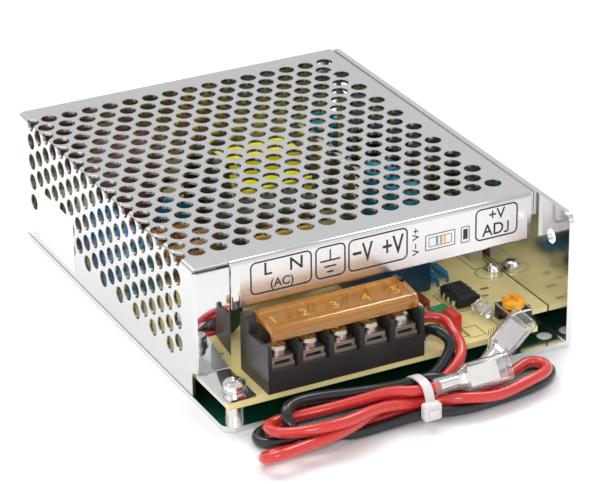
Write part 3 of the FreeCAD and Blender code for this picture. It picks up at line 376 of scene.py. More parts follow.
@dataclass(frozen=True)
class HoleWallShade:
    """Where painted shade darkens the inner part of the cover's hole walls."""

    start: float = 0.3
    end: float = CASE.sheet - 0.02
    ends_clear: float = 0.9
    right_clear: float = 1.3

    def past(self, shader: Shader, depth: float) -> Signal:
        """Returns: 1 deeper than this under the left and top faces, else 0."""
        inward = shader.x.above((depth - ORIGIN_X) * MM)
        return inward * shader.z.below((CASE.height - depth) * MM)

    def mask(self, shader: Shader) -> Signal:
        """Mark the inner part of the hole walls, where the painted shade goes.

        Args:
            shader: the material under construction.

        Returns:
            1 there, else 0.
        """
        behind = shader.y.above((CASE.cover_front + self.ends_clear - ORIGIN_Y) * MM)
        before = shader.y.below((CASE.cover_back - self.ends_clear - ORIGIN_Y) * MM)
        left = shader.x.below((CASE.cover_right - self.right_clear - ORIGIN_X) * MM)
        wall = self.past(shader, self.start) - self.past(shader, self.end)
        return wall * behind * before * left


@dataclass(frozen=True)
class Finish:
    """One finish: its colours, its gloss and the scale of its variation."""

    color: Triple
    rough: float = 0.4
    metal: float = 0.0
    vary: float = 0.08
    scale: float = 400.0
    bump: float = 0.05
    coat: float = 0.0
    transmission: float = 0.0
    ior: float = 1.45
    pattern: Pattern = Pattern.MOULDED
    second: Triple = (0.0, 0.0, 0.0)

    def shade(self, factor: float) -> Triple:
        """Returns: the colour made lighter or darker."""
        return tuple(min(1.0, channel * factor) for channel in self.color)

    def rolled(self, shader: Shader, base: Surface) -> Surface:
        """Add the long fine streaks and slow swell of rolled sheet.

        Args:
            shader: the material under construction.
            base: the surface to start from.

        Returns:
            The streaked surface.
        """
        streak = shader.noise(self.scale, SCALE.sheet_streak)
        color = streak.between(self.shade(1.0 - self.vary), self.shade(1.0 + self.vary))
        swell = shader.noise(SCALE.sheet_swell, detail=1.0)
        height = swell * SCALE.sheet_swell_share + streak * SCALE.sheet_streak_share
        return replace(base, color=color, height=height)

    def folded(self, shader: Shader, base: Surface) -> Surface:
        """Make rolled sheet into the cover: a glossier front strip and painted shade on the hole walls.

        Args:
            shader: the material under construction.
            base: the surface to start from.

        Returns:
            The cover's surface.
        """
        sheet = self.rolled(shader, base)
        front = shader.y.above((CASE.cover_front + SCALE.front_depth - ORIGIN_Y) * MM)
        rough = front * (self.rough - SCALE.front_rough) + SCALE.front_rough
        # Painted shade: the inner part of each hole wall is blended to the finish's second colour.
        color = HoleWallShade().mask(shader).between(sheet.color, self.second)
        return replace(sheet, color=color, rough=rough)

    def laminate(self, shader: Shader, base: Surface) -> Surface:
        """Show faint traces on top of the board, and its solder mask underneath.

        Args:
            shader: the material under construction.
            base: the surface to start from.

        Returns:
            The board's surface.
        """
        traces = shader.noise(SCALE.trace, detail=0.0).above(SCALE.trace_level)
        tinted = (traces * SCALE.trace_share).between(base.color, self.shade(SCALE.trace_shade))
        top = shader.z.above((CASE.board_top - CASE.underside_depth) * MM)
        return replace(base, color=top.between(self.second, tinted))

    def wound(self, shader: Shader, base: Surface) -> Surface:
        """Show turns of enamelled wire, with painted shade in the grooves between them.

        Args:
            shader: the material under construction.
            base: the surface to start from.

        Returns:
            The wound surface.
        """
        turns = (shader.x * SCALE.wire_x + shader.y * SCALE.wire_y).wave()
        # Painted shade: each turn's colour runs down to the dark second colour in the groove between
        # turns.
        color = turns.between(self.second, self.shade(1.0 + self.vary))
        return replace(base, color=color, height=turns)

    def taped(self, shader: Shader, base: Surface, cloud: Signal, grain: Signal) -> Surface:
        """Show laps of adhesive tape.

        Args:
            shader: the material under construction.
            base: the surface to start from.
            cloud: slow noise.
            grain: fine noise.

        Returns:
            The taped surface.
        """
        laps = (shader.z * SCALE.tape_z).wave()
        blend = laps * SCALE.tape_color_share + cloud * SCALE.tape_cloud_share
        color = blend.between(self.shade(1.0 + self.vary), self.shade(1.0 - self.vary))
        height = laps * SCALE.tape_height_share + grain * SCALE.tape_grain_share
        return replace(base, color=color, height=height)

    def surface(self, shader: Shader) -> Surface:
        """Build what varies over the surface.

        Args:
            shader: the material under construction.

        Returns:
            Its colour, roughness and height.
        """
        cloud = shader.noise(self.scale * SCALE.cloud, detail=SCALE.cloud_detail)
        grain = shader.noise(self.scale * SCALE.grain)
        color = cloud.between(self.shade(1.0 - self.vary), self.shade(1.0 + self.vary))
        rough = (grain - 0.5) * SCALE.gloss_spread + self.rough
        base = Surface(color, rough, grain)
        if self.pattern is Pattern.SHEET:
            return self.rolled(shader, base)
        if self.pattern is Pattern.FOLDED:
            return self.folded(shader, base)
        if self.pattern is Pattern.LAMINATE:
            return self.laminate(shader, base)
        if self.pattern is Pattern.WOUND:
            return self.wound(shader, base)
        if self.pattern is Pattern.TAPED:
            return self.taped(shader, base, cloud, grain)
        return base

    def build(self, name: str) -> bpy.types.Material:
        """Build the procedural material.

        Args:
            name: the material's name.

        Returns:
            The material.
        """
        shader = Shader(name)
        shader.dress("Metallic", self.metal)
        shader.dress("IOR", self.ior)
        shader.dress("Coat Weight", self.coat)
        shader.dress("Coat Roughness", SCALE.coat_rough)
        shader.dress("Transmission Weight", self.transmission)
        surface = self.surface(shader)
        shader.dress("Base Color", surface.color)
        shader.dress("Roughness", surface.rough)
        shader.relief(surface.height, self.bump)
        return shader.material


FINISHES: dict[str, Finish] = {
    "chassis_metal": Finish(color=(0.80, 0.81, 0.80), rough=0.13, metal=1.0, vary=0.03, scale=700.0,
        bump=0.02, pattern=Pattern.SHEET),
    # The cover's second colour is painted shade inside the holes.
    "cover_metal": Finish(color=(0.73, 0.73, 0.735), rough=0.24, metal=1.0, vary=0.04, scale=900.0,
        bump=0.03, pattern=Pattern.FOLDED, second=(0.30, 0.30, 0.28)),
    "board_laminate": Finish(color=(0.95, 0.79, 0.36), rough=0.32, vary=0.05, scale=300.0, bump=0.03,
        coat=0.3, pattern=Pattern.LAMINATE, second=(0.015, 0.20, 0.12)),
    "spacer_metal": Finish(color=(0.80, 0.79, 0.76), rough=0.25, metal=1.0, vary=0.08, scale=900.0,
        bump=0.05),
    "screw_steel": Finish(color=(0.82, 0.81, 0.78), rough=0.16, metal=1.0, vary=0.10, scale=1200.0,
        bump=0.06),
    "spring_steel": Finish(color=(0.62, 0.61, 0.59), rough=0.25, metal=1.0, vary=0.10, scale=1200.0,
        bump=0.06),
    "label_film": Finish(color=(0.80, 0.78, 0.78), rough=0.24, metal=0.92, vary=0.02, scale=200.0,
        bump=0.01),
    "sticker_paper": Finish(color=(0.86, 0.87, 0.88), rough=0.45, vary=0.05, scale=500.0, bump=0.03),
    "block_plastic": Finish(color=(0.028, 0.027, 0.027), rough=0.36, vary=0.20, scale=900.0, bump=0.10),
    "terminal_metal": Finish(color=(0.86, 0.84, 0.81), rough=0.22, metal=1.0, vary=0.08, scale=1500.0,
        bump=0.06),
    # A darker copy of the terminal metal: painted shade for the clamps and tongues in the block's
    # pockets.
    "clamp_metal_painted_shade": Finish(color=(0.40, 0.38, 0.34), rough=0.42, metal=1.0, vary=0.15, scale=1500.0,
        bump=0.10),
    "terminal_screw_metal": Finish(color=(0.68, 0.66, 0.60), rough=0.22, metal=1.0, vary=0.10,
        scale=1500.0, bump=0.08),
    "flap_plastic": Finish(color=(0.88, 0.38, 0.006), rough=0.09, vary=0.12, scale=260.0, bump=0.05,
        coat=1.0, transmission=0.72, ior=1.45),
    # Painted highlight: the raised digits get a lighter, less clear copy of the flap's amber for the
    # light they catch.
    "flap_digit_highlight": Finish(color=(0.74, 0.37, 0.04), rough=0.12, vary=0.05, scale=300.0, bump=0.02,
        coat=0.7, transmission=0.2, ior=1.42),
    "relay_case": Finish(color=(0.006, 0.040, 0.095), rough=0.30, vary=0.15, scale=500.0, bump=0.04),
    "chip_case": Finish(color=(0.012, 0.012, 0.013), rough=0.45, vary=0.25, scale=1500.0, bump=0.12),
    "pin_metal": Finish(color=(0.85, 0.84, 0.82), rough=0.16, metal=1.0, vary=0.08, scale=1500.0,
        bump=0.05),
    "led_lens": Finish(color=(0.95, 0.95, 0.90), rough=0.05, vary=0.03, scale=500.0, bump=0.02,
        transmission=0.85),
    "trimmer_case": Finish(color=(0.020, 0.016, 0.013), rough=0.30, vary=0.20, scale=900.0, bump=0.06),
    "knob_plastic": Finish(color=(0.95, 0.42, 0.02), rough=0.30, vary=0.10, scale=900.0, bump=0.05),
    "resistor_coat": Finish(color=(0.015, 0.16, 0.30), rough=0.22, vary=0.20, scale=1500.0, bump=0.08,
        coat=0.4),
    "diode_glass": Finish(color=(0.25, 0.05, 0.02), rough=0.12, vary=0.15, scale=900.0, bump=0.03,
        coat=0.5),
    "green_case": Finish(color=(0.02, 0.26, 0.10), rough=0.22, vary=0.25, scale=900.0, bump=0.10,
        coat=0.4),
    "red_case": Finish(color=(0.62, 0.035, 0.018), rough=0.22, vary=0.10, scale=900.0, bump=0.05,
        coat=0.4),
    "white_case": Finish(color=(0.82, 0.81, 0.74), rough=0.38, vary=0.06, scale=900.0, bump=0.05),
    "grey_case": Finish(color=(0.52, 0.49, 0.38), rough=0.40, vary=0.10, scale=700.0, bump=0.06),
    "blue_case": Finish(color=(0.01, 0.20, 0.42), rough=0.25, vary=0.12, scale=900.0, bump=0.06,
        coat=0.3),
    "fuse_glass": Finish(color=(0.92, 0.94, 0.92), rough=0.04, vary=0.02, scale=500.0, bump=0.01,
        transmission=0.9),
    "thermistor_coat": Finish(color=(0.02, 0.06, 0.03), rough=0.45, vary=0.20, scale=900.0, bump=0.12),
    "brown_sleeve": Finish(color=(0.16, 0.055, 0.060), rough=0.28, vary=0.12, scale=700.0, bump=0.04,
        coat=0.3),
    "teal_sleeve": Finish(color=(0.01, 0.29, 0.46), rough=0.28, vary=0.12, scale=700.0, bump=0.04,
        coat=0.3),
    "ferrite": Finish(color=(0.045, 0.043, 0.040), rough=0.50, vary=0.20, scale=900.0, bump=0.12),
    "amber_tape": Finish(color=(0.72, 0.44, 0.07), rough=0.20, vary=0.12, scale=900.0, bump=0.05,
        coat=0.4, pattern=Pattern.TAPED),
    "yellow_tape": Finish(color=(0.97, 0.89, 0.04), rough=0.22, vary=0.08, scale=900.0, bump=0.05,
        coat=0.4, pattern=Pattern.TAPED),
    # The copper wire's second colour is painted shade in the grooves between turns.
    "copper_wire": Finish(color=(0.56, 0.28, 0.05), rough=0.22, vary=0.15, scale=900.0, bump=0.40,
        coat=0.5, pattern=Pattern.WOUND, second=(0.16, 0.05, 0.01)),
    "sink_metal": Finish(color=(0.70, 0.72, 0.74), rough=0.28, metal=1.0, vary=0.06, scale=900.0,
        bump=0.04, pattern=Pattern.SHEET),
    "red_insulation": Finish(color=(0.60, 0.030, 0.025), rough=0.26, vary=0.07, scale=350.0, bump=0.04,
        coat=0.6),
    "black_insulation": Finish(color=(0.012, 0.013, 0.016), rough=0.24, vary=0.15, scale=350.0,
        bump=0.04, coat=0.25),
    "tie_nylon": Finish(color=(0.88, 0.82, 0.83), rough=0.35, vary=0.04, scale=600.0, bump=0.05,
        transmission=0.25),
    "sleeve_vinyl": Finish(color=(0.985, 0.985, 0.99), rough=0.06, vary=0.01, scale=500.0, bump=0.05,
        coat=0.8, transmission=0.95, ior=1.25),
    "print_ink": Finish(color=(0.025, 0.025, 0.03), rough=0.40, vary=0.10, scale=900.0, bump=0.02),
    "print_teal": Finish(color=(0.05, 0.40, 0.45), rough=0.40, vary=0.10, scale=900.0, bump=0.02),
    "print_orange": Finish(color=(0.80, 0.30, 0.12), rough=0.40, vary=0.10, scale=900.0, bump=0.02),
    "print_yellow": Finish(color=(0.85, 0.60, 0.10), rough=0.40, vary=0.10, scale=900.0, bump=0.02),
    "print_grey": Finish(color=(0.16, 0.17, 0.19), rough=0.45, vary=0.06, scale=900.0, bump=0.02),
    "floor_paper": Finish(color=(0.93, 0.93, 0.93), rough=0.60, vary=0.005, scale=30.0, bump=0.0),
}
MATERIALS: dict[str, bpy.types.Material] = {}

# Nodes that wear a finish other than the one named by their slot in the record. The terminal clamps and
# tongues wear a darker copy of the terminal metal, whose darkness is painted shade for the block's
# pockets.
OWN_FINISHES = {"terminal_clamps": "clamp_metal_painted_shade", "terminal_tongues": "clamp_metal_painted_shade"}


def material(name: str) -> bpy.types.Material:
    """Find the material of a finish, which is built on its first use.

    Args:
        name: the finish's name.

    Returns:
        The material.
    """
    if name not in MATERIALS:
        MATERIALS[name] = FINISHES[name].build(name)
    return MATERIALS[name]


def dress_cad_nodes(frame: dict[str, Any]) -> None:
    """Give every CAD node the finish of its slot in the record, or its finish in OWN_FINISHES, which
    gives the clamps and tongues painted shade.
    """
    slots = {part["node"]: part["material_slot"] for part in frame["record"]["subparts"]}
    for name, node in frame["nodes"].items():
        node.data.materials.clear()
        node.data.materials.append(material(OWN_FINISHES.get(name, slots[name])))


# Mesh helpers


SHARP_ANGLE = math.radians(32.0)
WELD = 0.00001 * MM
DISC_SIDES = 24

# The triangulation keeps every cell, and joins points nearer than this on the flat blank.
ALL_CELLS = 0
JOIN = 1e-6


def finish_piece(name: str, bm: bmesh.types.BMesh, finish: str, body: str = "case",
                 replaces: Sequence[str] = (), smooth: bool = True) -> bpy.types.Object:
    """Turn a mesh into a piece that rides on a body.

    Args:
        name: the piece's name.
        bm: its mesh, which is freed.
        finish: its finish's name.
        body: what it rides on.
        replaces: the CAD nodes that it stands for.
        smooth: whether it is shaded smooth between sharp edges.

    Returns:
        The piece.
    """
    mesh = bpy.data.meshes.new(name)
    bmesh.ops.recalc_face_normals(bm, faces=bm.faces)
    for face in bm.faces:
        face.smooth = smooth
    bm.to_mesh(mesh)
    bm.free()
    if smooth:
        mesh.set_sharp_from_angle(angle=SHARP_ANGLE)
    mesh.materials.append(material(finish))
    piece = bpy.data.objects.new(name, mesh)
    bpy.context.scene.collection.objects.link(piece)
    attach(piece, body)
    if replaces:
        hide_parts(*replaces)
    return piece


def round_edges(bm: bmesh.types.BMesh, edges: Iterable[bmesh.types.BMEdge], width: float,
                segments: int) -> None:
    """Round edges.

    Args:
        bm: the mesh.
        edges: the edges.
        width: the rounding's width in mm, or 0 for none.
        segments: steps across it.
    """
    if width > 0.0:
        bmesh.ops.bevel(bm, geom=list(edges), offset=width * MM, offset_type="OFFSET",
                        affect="EDGES", segments=segments, profile=0.5, material=-1)


def add_prism(bm: bmesh.types.BMesh, outline: Sequence[Pair], place: Place, start: float,
              end: float, rounding: float = 0.0, segments: int = 2) -> None:
    """Draw an outline out from one station to another.

    The sides are made here, because an extrusion changes how the rounded end edges come out.

    Args:
        bm: the mesh.
        outline: the section's corners in mm.
        place: what turns a corner and a station into a point.
        start, end: the stations in mm.
        rounding: width in mm of the rounded end edges.
        segments: steps across the rounding.
    """
    first = [bm.verts.new(place(a, b, start)) for a, b in outline]
    last = [bm.verts.new(place(a, b, end)) for a, b in outline]
    ends = [bm.faces.new(first), bm.faces.new(last[::-1])]
    for k in range(len(outline)):
        n = (k + 1) % len(outline)
        bm.faces.new((first[k], last[k], last[n], first[n]))
    round_edges(bm, {edge for face in ends for edge in face.edges}, rounding, segments)


def add_block(bm: bmesh.types.BMesh, low: Vector, high: Vector, rounding: float = 0.0,
              segments: int = 2) -> None:
    """Add a box with all its edges rounded if asked.

    Args:
        bm: the mesh.
        low, high: opposite corners in metres.
        rounding: width in mm of the rounded edges.
        segments: steps across the rounding.
    """
    frame = Matrix.Translation((low + high) / 2.0) @ Matrix.Diagonal((*(high - low), 1.0))
    made = bmesh.ops.create_cube(bm, size=1.0, matrix=frame)
    round_edges(bm, {edge for vert in made["verts"] for edge in vert.link_edges}, rounding, segments)


def add_disc(bm: bmesh.types.BMesh, frame: Matrix, radius: float, depth: float,
             rounding: float) -> None:
    """Add a short round disc along a frame's Z axis.

    Args:
        bm: the mesh.
        frame: where its middle lies.
        radius: its radius in mm.
        depth: its height in mm.
        rounding: width in mm of its rounded end edges.
    """
    made = bmesh.ops.create_cone(bm, cap_ends=True, segments=DISC_SIDES, radius1=radius * MM,
                                 radius2=radius * MM, depth=depth * MM, matrix=frame)
    faces = {face for vert in made["verts"] for face in vert.link_faces}
    ends = [face for face in faces if len(face.verts) == DISC_SIDES]
    round_edges(bm, {edge for face in ends for edge in face.edges}, rounding, 2)


def arc(cx: float, cy: float, radius: float, start: float, end: float,
        steps: int = 6) -> list[Pair]:
    """Divide an arc.

    Args:
        cx, cy: its centre.
        radius: its radius.
        start, end: its angles in degrees.
        steps: how many parts it has.

    Returns:
        Its points, both ends among them.
    """
    angles = [math.radians(start + (end - start) * step / steps) for step in range(steps + 1)]
    return [(cx + radius * math.cos(angle), cy + radius * math.sin(angle)) for angle in angles]


def round_outline(cx: float, cy: float, radius: float, sides: int) -> list[Pair]:
    """Returns: the corners of a regular polygon about a centre."""
    return arc(cx, cy, radius, 0.0, 360.0, sides)[:-1]


def rounded_rectangle(x0: float, x1: float, y0: float, y1: float, corner: float,
                      inset: float = 0.0) -> list[Pair]:
    """Draw a rectangle with round corners.

    Args:
        x0, x1, y0, y1: its sides.
        corner: its corners' radius.
        inset: how far the line lies inside it.

    Returns:
        The line's points.
    """
    centres = ((x1 - corner, y1 - corner), (x0 + corner, y1 - corner),
               (x0 + corner, y0 + corner), (x1 - corner, y0 + corner))
    line = []
    for turn, (cx, cy) in enumerate(centres):
        line += arc(cx, cy, corner - inset, 90.0 * turn, 90.0 * (turn + 1))
    return line


def add_loop(bm: bmesh.types.BMesh, points: Iterable[Vector]) -> list[bmesh.types.BMEdge]:
    """Returns: the edges of a new closed loop through some points."""
    verts = [bm.verts.new(point) for point in points]
    return [bm.edges.new((verts[k - 1], verts[k])) for k in range(len(verts))]


def loft(bm: bmesh.types.BMesh, sections: Sequence[Sequence[Vector]]) -> None:
    """Extrude a closed section from station to station, and back to the first.

    Args:
        bm: the mesh.
        sections: the section's points at each station, with as many points each.
    """
    edges = add_loop(bm, sections[0])
    order = {edge.verts[1]: k for k, edge in enumerate(edges)}
    for points in [*sections[1:], sections[0]]:
        made = bmesh.ops.extrude_edge_only(bm, edges=edges)["geom"]
        fresh = {}
        for vert in (item for item in made if isinstance(item, bmesh.types.BMVert)):
            source = next(edge.other_vert(vert) for edge in vert.link_edges
                          if edge.other_vert(vert) in order)
            fresh[vert] = order[source]
            vert.co = points[fresh[vert]]
        edges = [item for item in made
                 if isinstance(item, bmesh.types.BMEdge) and all(v in fresh for v in item.verts)]
        order = fresh
    bmesh.ops.remove_doubles(bm, verts=bm.verts, dist=WELD)


@dataclass(frozen=True)
class Caption:
    """A few characters and where they stand."""

    text: str
    height: float
    x: float
    z: float
    squeeze: float = 1.0
    turn: float = 0.0


def add_text(bm: bmesh.types.BMesh, text: str, height: float, depth: float, frame: Matrix,
             squeeze: float = 1.0) -> None:
    """Add raised characters centred on a place.

    Args:
        bm: the mesh.
        text: the characters.
        height: the capitals' height in mm.
        depth: their thickness in mm.
        frame: where the text's plane lies.
        squeeze: the width's factor.
    """
    capital_share = 0.70
    stroke_share = 0.012
    curve = bpy.data.curves.new("text_outline", "FONT")
    curve.body = text
    curve.size = height / capital_share * MM
    curve.extrude = depth / 2.0 * MM
    curve.offset = height * stroke_share * MM
    curve.resolution_u = 4
    curve.align_x = "CENTER"
    curve.align_y = "CENTER"
    holder = bpy.data.objects.new("text_outline", curve)
    bpy.context.scene.collection.objects.link(holder)
    bpy.context.view_layer.update()
    graph = bpy.context.evaluated_depsgraph_get()
    mesh = bpy.data.meshes.new_from_object(holder.evaluated_get(graph))
    mesh.transform(frame @ Matrix.Diagonal((squeeze, 1.0, 1.0, 1.0)))
    bm.from_mesh(mesh)
    bpy.data.meshes.remove(mesh)
    bpy.data.objects.remove(holder)
    bpy.data.curves.remove(curve)


def smooth_line(name: str, points: Sequence[Vector], closed: bool = False) -> bpy.types.Curve:
    """Draw a smooth spline with some points as its control points.

    Args:
        name: the curve's name.
        points: the control points.
        closed: whether it runs back to its start.

    Returns:
        The curve.
    """
    curve = bpy.data.curves.new(name, "CURVE")
    curve.dimensions = "3D"
    spline = curve.splines.new("NURBS")
    spline.points.add(len(points) - 1)
    for knot, point in zip(spline.points, points):
        knot.co = (*point, 1.0)
    spline.order_u = 3
    spline.use_cyclic_u = closed
    spline.use_endpoint_u = not closed
    return curve


class SubAssembly:
    """A group of pieces that is built and dressed together."""

    def build(self) -> list[bpy.types.Object]:
        """Returns: the finished pieces."""
        raise NotImplementedError


# Cover


@dataclass
class Cover(SubAssembly):
    """The folded cover: a punched blank wrapped over the case, and its folded ends."""

    bend: float = 1.0
    wall_bottom: float = 1.8
    lip_height: float = 6.8
    strip_bottom: float = 24.2
    strip_left: float = 10.1
    flange_right: float = 9.6
    foot_top: float = 8.6
    foot_front: float = 0.9
    foot_left: float = 0.2
    foot_right: float = 8.8
    corner_cut_width: float = 6.7
    corner_cut_depth: float = 1.5
    flat_lines: Pair = (22.8, 125.4)
    bend_steps: int = 6
    edge_round: float = 0.12
    hole_d: float = 4.45
    hole_pitch: float = 6.0
    first_row: float = 26.2
    hole_rows: int = 19
    row_holes: int = 15
    hole_sides: int = 28
    wall_margin_pitches: float = 1.2
    screw_hole_r: float = 1.5
    screw_hole_drop: float = 4.0
    screw_hole_sides: int = 24
    screw_holes_y: Pair = (CASE.cover_front + 14.0, CASE.cover_back - 22.0)

    @property
    def turn(self) -> float:
        """Returns: the length of blank that one fold takes."""
        return self.bend * QUARTER

    @property
    def lip(self) -> float:
        """Returns: the lip's flat length."""
        return self.lip_height - self.bend

    @property
    def top(self) -> float:
        """Returns: the top's flat width between its folds."""
        return CASE.cover_right - 2.0 * self.bend

    @property
    def width(self) -> float:
        """Returns: the blank's whole width."""
        return self.lip + 2.0 * self.turn + self.top + CASE.height - self.bend - self.wall_bottom

    @property
    def y_ends(self) -> Pair:
        """Returns: where the blank starts and ends between the front and back folds."""
        return CASE.cover_front + self.bend, CASE.cover_back - self.bend

    def folded(self, u: float, depth: float) -> Pair:
        """Fold a point of the flat blank.

        Args:
            u: distance across the blank from the lip's lower edge.
            depth: how far under the outer face.

        Returns:
            Its X and Z.
        """
        bend = self.bend
        reach = bend - depth
        if u <= self.lip:
            return CASE.cover_right - depth, CASE.height - self.lip_height + u
        u -= self.lip
        if u <= self.turn:
            angle = u / bend
            return (CASE.cover_right - bend + reach * math.cos(angle),
                    CASE.height - bend + reach * math.sin(angle))
        u -= self.turn
        if u <= self.top:
            return CASE.cover_right - bend - u, CASE.height - depth
        u -= self.top
        if u <= self.turn:
            angle = u / bend
            return (bend - reach * math.sin(angle), CASE.height - bend + reach * math.cos(angle))
        return depth, CASE.height - bend - (u - self.turn)

    def hole_centres(self) -> list[Pair]:
        """Returns: the centre of every perforation on the flat blank."""
        pitch = self.hole_pitch
        edge = self.lip + self.turn + self.top + self.turn / 2.0
        slack = self.bend - self.turn / 4.0
        wall = CASE.height - self.wall_bottom - self.wall_margin_pitches * pitch
        centres = []
        for row in range(self.hole_rows):
            y = self.first_row + row * pitch * math.sqrt(3.0) / 2.0
            even = row % 2 == 0
            first = pitch if even else pitch / 2.0
            centres += [(edge - first - k * pitch + slack, y) for k in range(self.row_holes)]
            if even:
                centres.append((edge, y))
            drop = first
            while drop < wall:
                centres.append((edge + drop - slack, y))
                drop += pitch
        return centres

    def blank_outline(self) -> list[Pair]:
        """Returns: the flat blank's corners, with the cut at its front left corner."""
        front, back = self.y_ends
        cut = self.width - self.corner_cut_width
        notch = front + self.corner_cut_depth
        return [(0.0, front), (cut, front), (cut, notch), (self.width, notch),
                (self.width, back), (0.0, back)]

    def fold_lines(self) -> list[tuple[Pair, Pair]]:
        """Returns: the lines on the blank where its facets must meet."""
        front, back = self.y_ends
        lines = []
        for start in (self.lip, self.lip + self.turn + self.top):
            for step in range(self.bend_steps + 1):
                u = start + self.turn * step / self.bend_steps
                lines.append(((u, front), (u, back)))
        return lines + [((0.0, y), (self.width, y)) for y in self.flat_lines]

    def punched(self) -> list[list[Pair]]:
        """Returns: the outline of every hole."""
        holes = [round_outline(u, y, self.hole_d / 2.0, self.hole_sides)
                 for u, y in self.hole_centres()]
        height = self.lip_height - self.screw_hole_drop
        return holes + [round_outline(height, y, self.screw_hole_r, self.screw_hole_sides)
                        for y in self.screw_holes_y]

    def blank(self) -> bmesh.types.BMesh:
        """Punch the flat blank, give it its thickness and fold it.

        Returns:
            Its mesh.
        """
        outline = self.blank_outline()
        points = list(outline)
        areas = [list(range(len(outline)))]
        edges = []
        for line in self.fold_lines():
            edges.append((len(points), len(points) + 1))
            points += line
        for hole in self.punched():
            areas.append(list(range(len(points), len(points) + len(hole))))
            points += hole
        flat, _, cells, _, _, sources = delaunay_2d_cdt(
            [Vector(point) for point in points], edges, areas, ALL_CELLS, JOIN)
        bm = bmesh.new()
        verts = [bm.verts.new((point.x, point.y, 0.0)) for point in flat]
        for cell, source in zip(cells, sources):
            if list(source) == [0]:
                bm.faces.new([verts[index] for index in cell])
        loose = [vert for vert in bm.verts if not vert.link_faces]
        bmesh.ops.delete(bm, geom=loose, context="VERTS")
        made = bmesh.ops.extrude_face_region(bm, geom=bm.faces[:])["geom"]
        inner = [item for item in made if isinstance(item, bmesh.types.BMVert)]
        bmesh.ops.translate(bm, vec=(0.0, 0.0, CASE.sheet), verts=inner)
        for vert in bm.verts:
            x, z = self.folded(vert.co.x, vert.co.z)
            vert.co = mm(x, vert.co.y, z)
        return bm

    def add_ends(self, bm: bmesh.types.BMesh) -> None:
        """Add the front strip, the back, the left flange and its foot.

        Args:
            bm: the cover's mesh.
        """
        bend = self.bend
        sheet = CASE.sheet
        inside = bend - sheet
        front, back = self.y_ends
        front_face = CASE.cover_front
        back_face = CASE.cover_back
        level = CASE.height - bend
        right = CASE.cover_right - bend
        strip = arc(front, level, bend, 90, 180)
        strip += [(front_face, self.strip_bottom), (front_face + sheet, self.strip_bottom)]
        strip += arc(front, level, inside, 180, 90)
        add_prism(bm, strip, along_x, self.strip_left, right, self.edge_round)
        rear = arc(back, level, bend, 90, 0)
        rear += [(back_face, self.wall_bottom), (back_face - sheet, self.wall_bottom)]
        rear += arc(back, level, inside, 0, 90)
        add_prism(bm, rear, along_x, bend, right, self.edge_round)
        flange = arc(bend, front, bend, 180, 270)
        flange += [(self.flange_right, front_face), (self.flange_right, front_face + sheet)]
        flange += arc(bend, front, inside, 270, 180)
        foot_fold = self.foot_top - sheet + bend
        add_prism(bm, flange, along_z, foot_fold, level, self.edge_round)
        fold_y = front_face + sheet - bend
        foot = [(self.foot_front, self.foot_top), (fold_y, self.foot_top)]
        foot += arc(fold_y, foot_fold, inside, -90, 0, 4)
        foot += arc(fold_y, foot_fold, bend, 0, -90)
        foot += [(self.foot_front, self.foot_top - sheet)]
        add_prism(bm, foot, along_x, self.foot_left, self.foot_right, self.edge_round)

    def build(self) -> list[bpy.types.Object]:
        """Returns: the cover."""
        bm = self.blank()
        self.add_ends(bm)
        return [finish_piece("cover_shell", bm, "cover_metal", replaces=["perforated_cover"])]


# Flip cover over the terminals


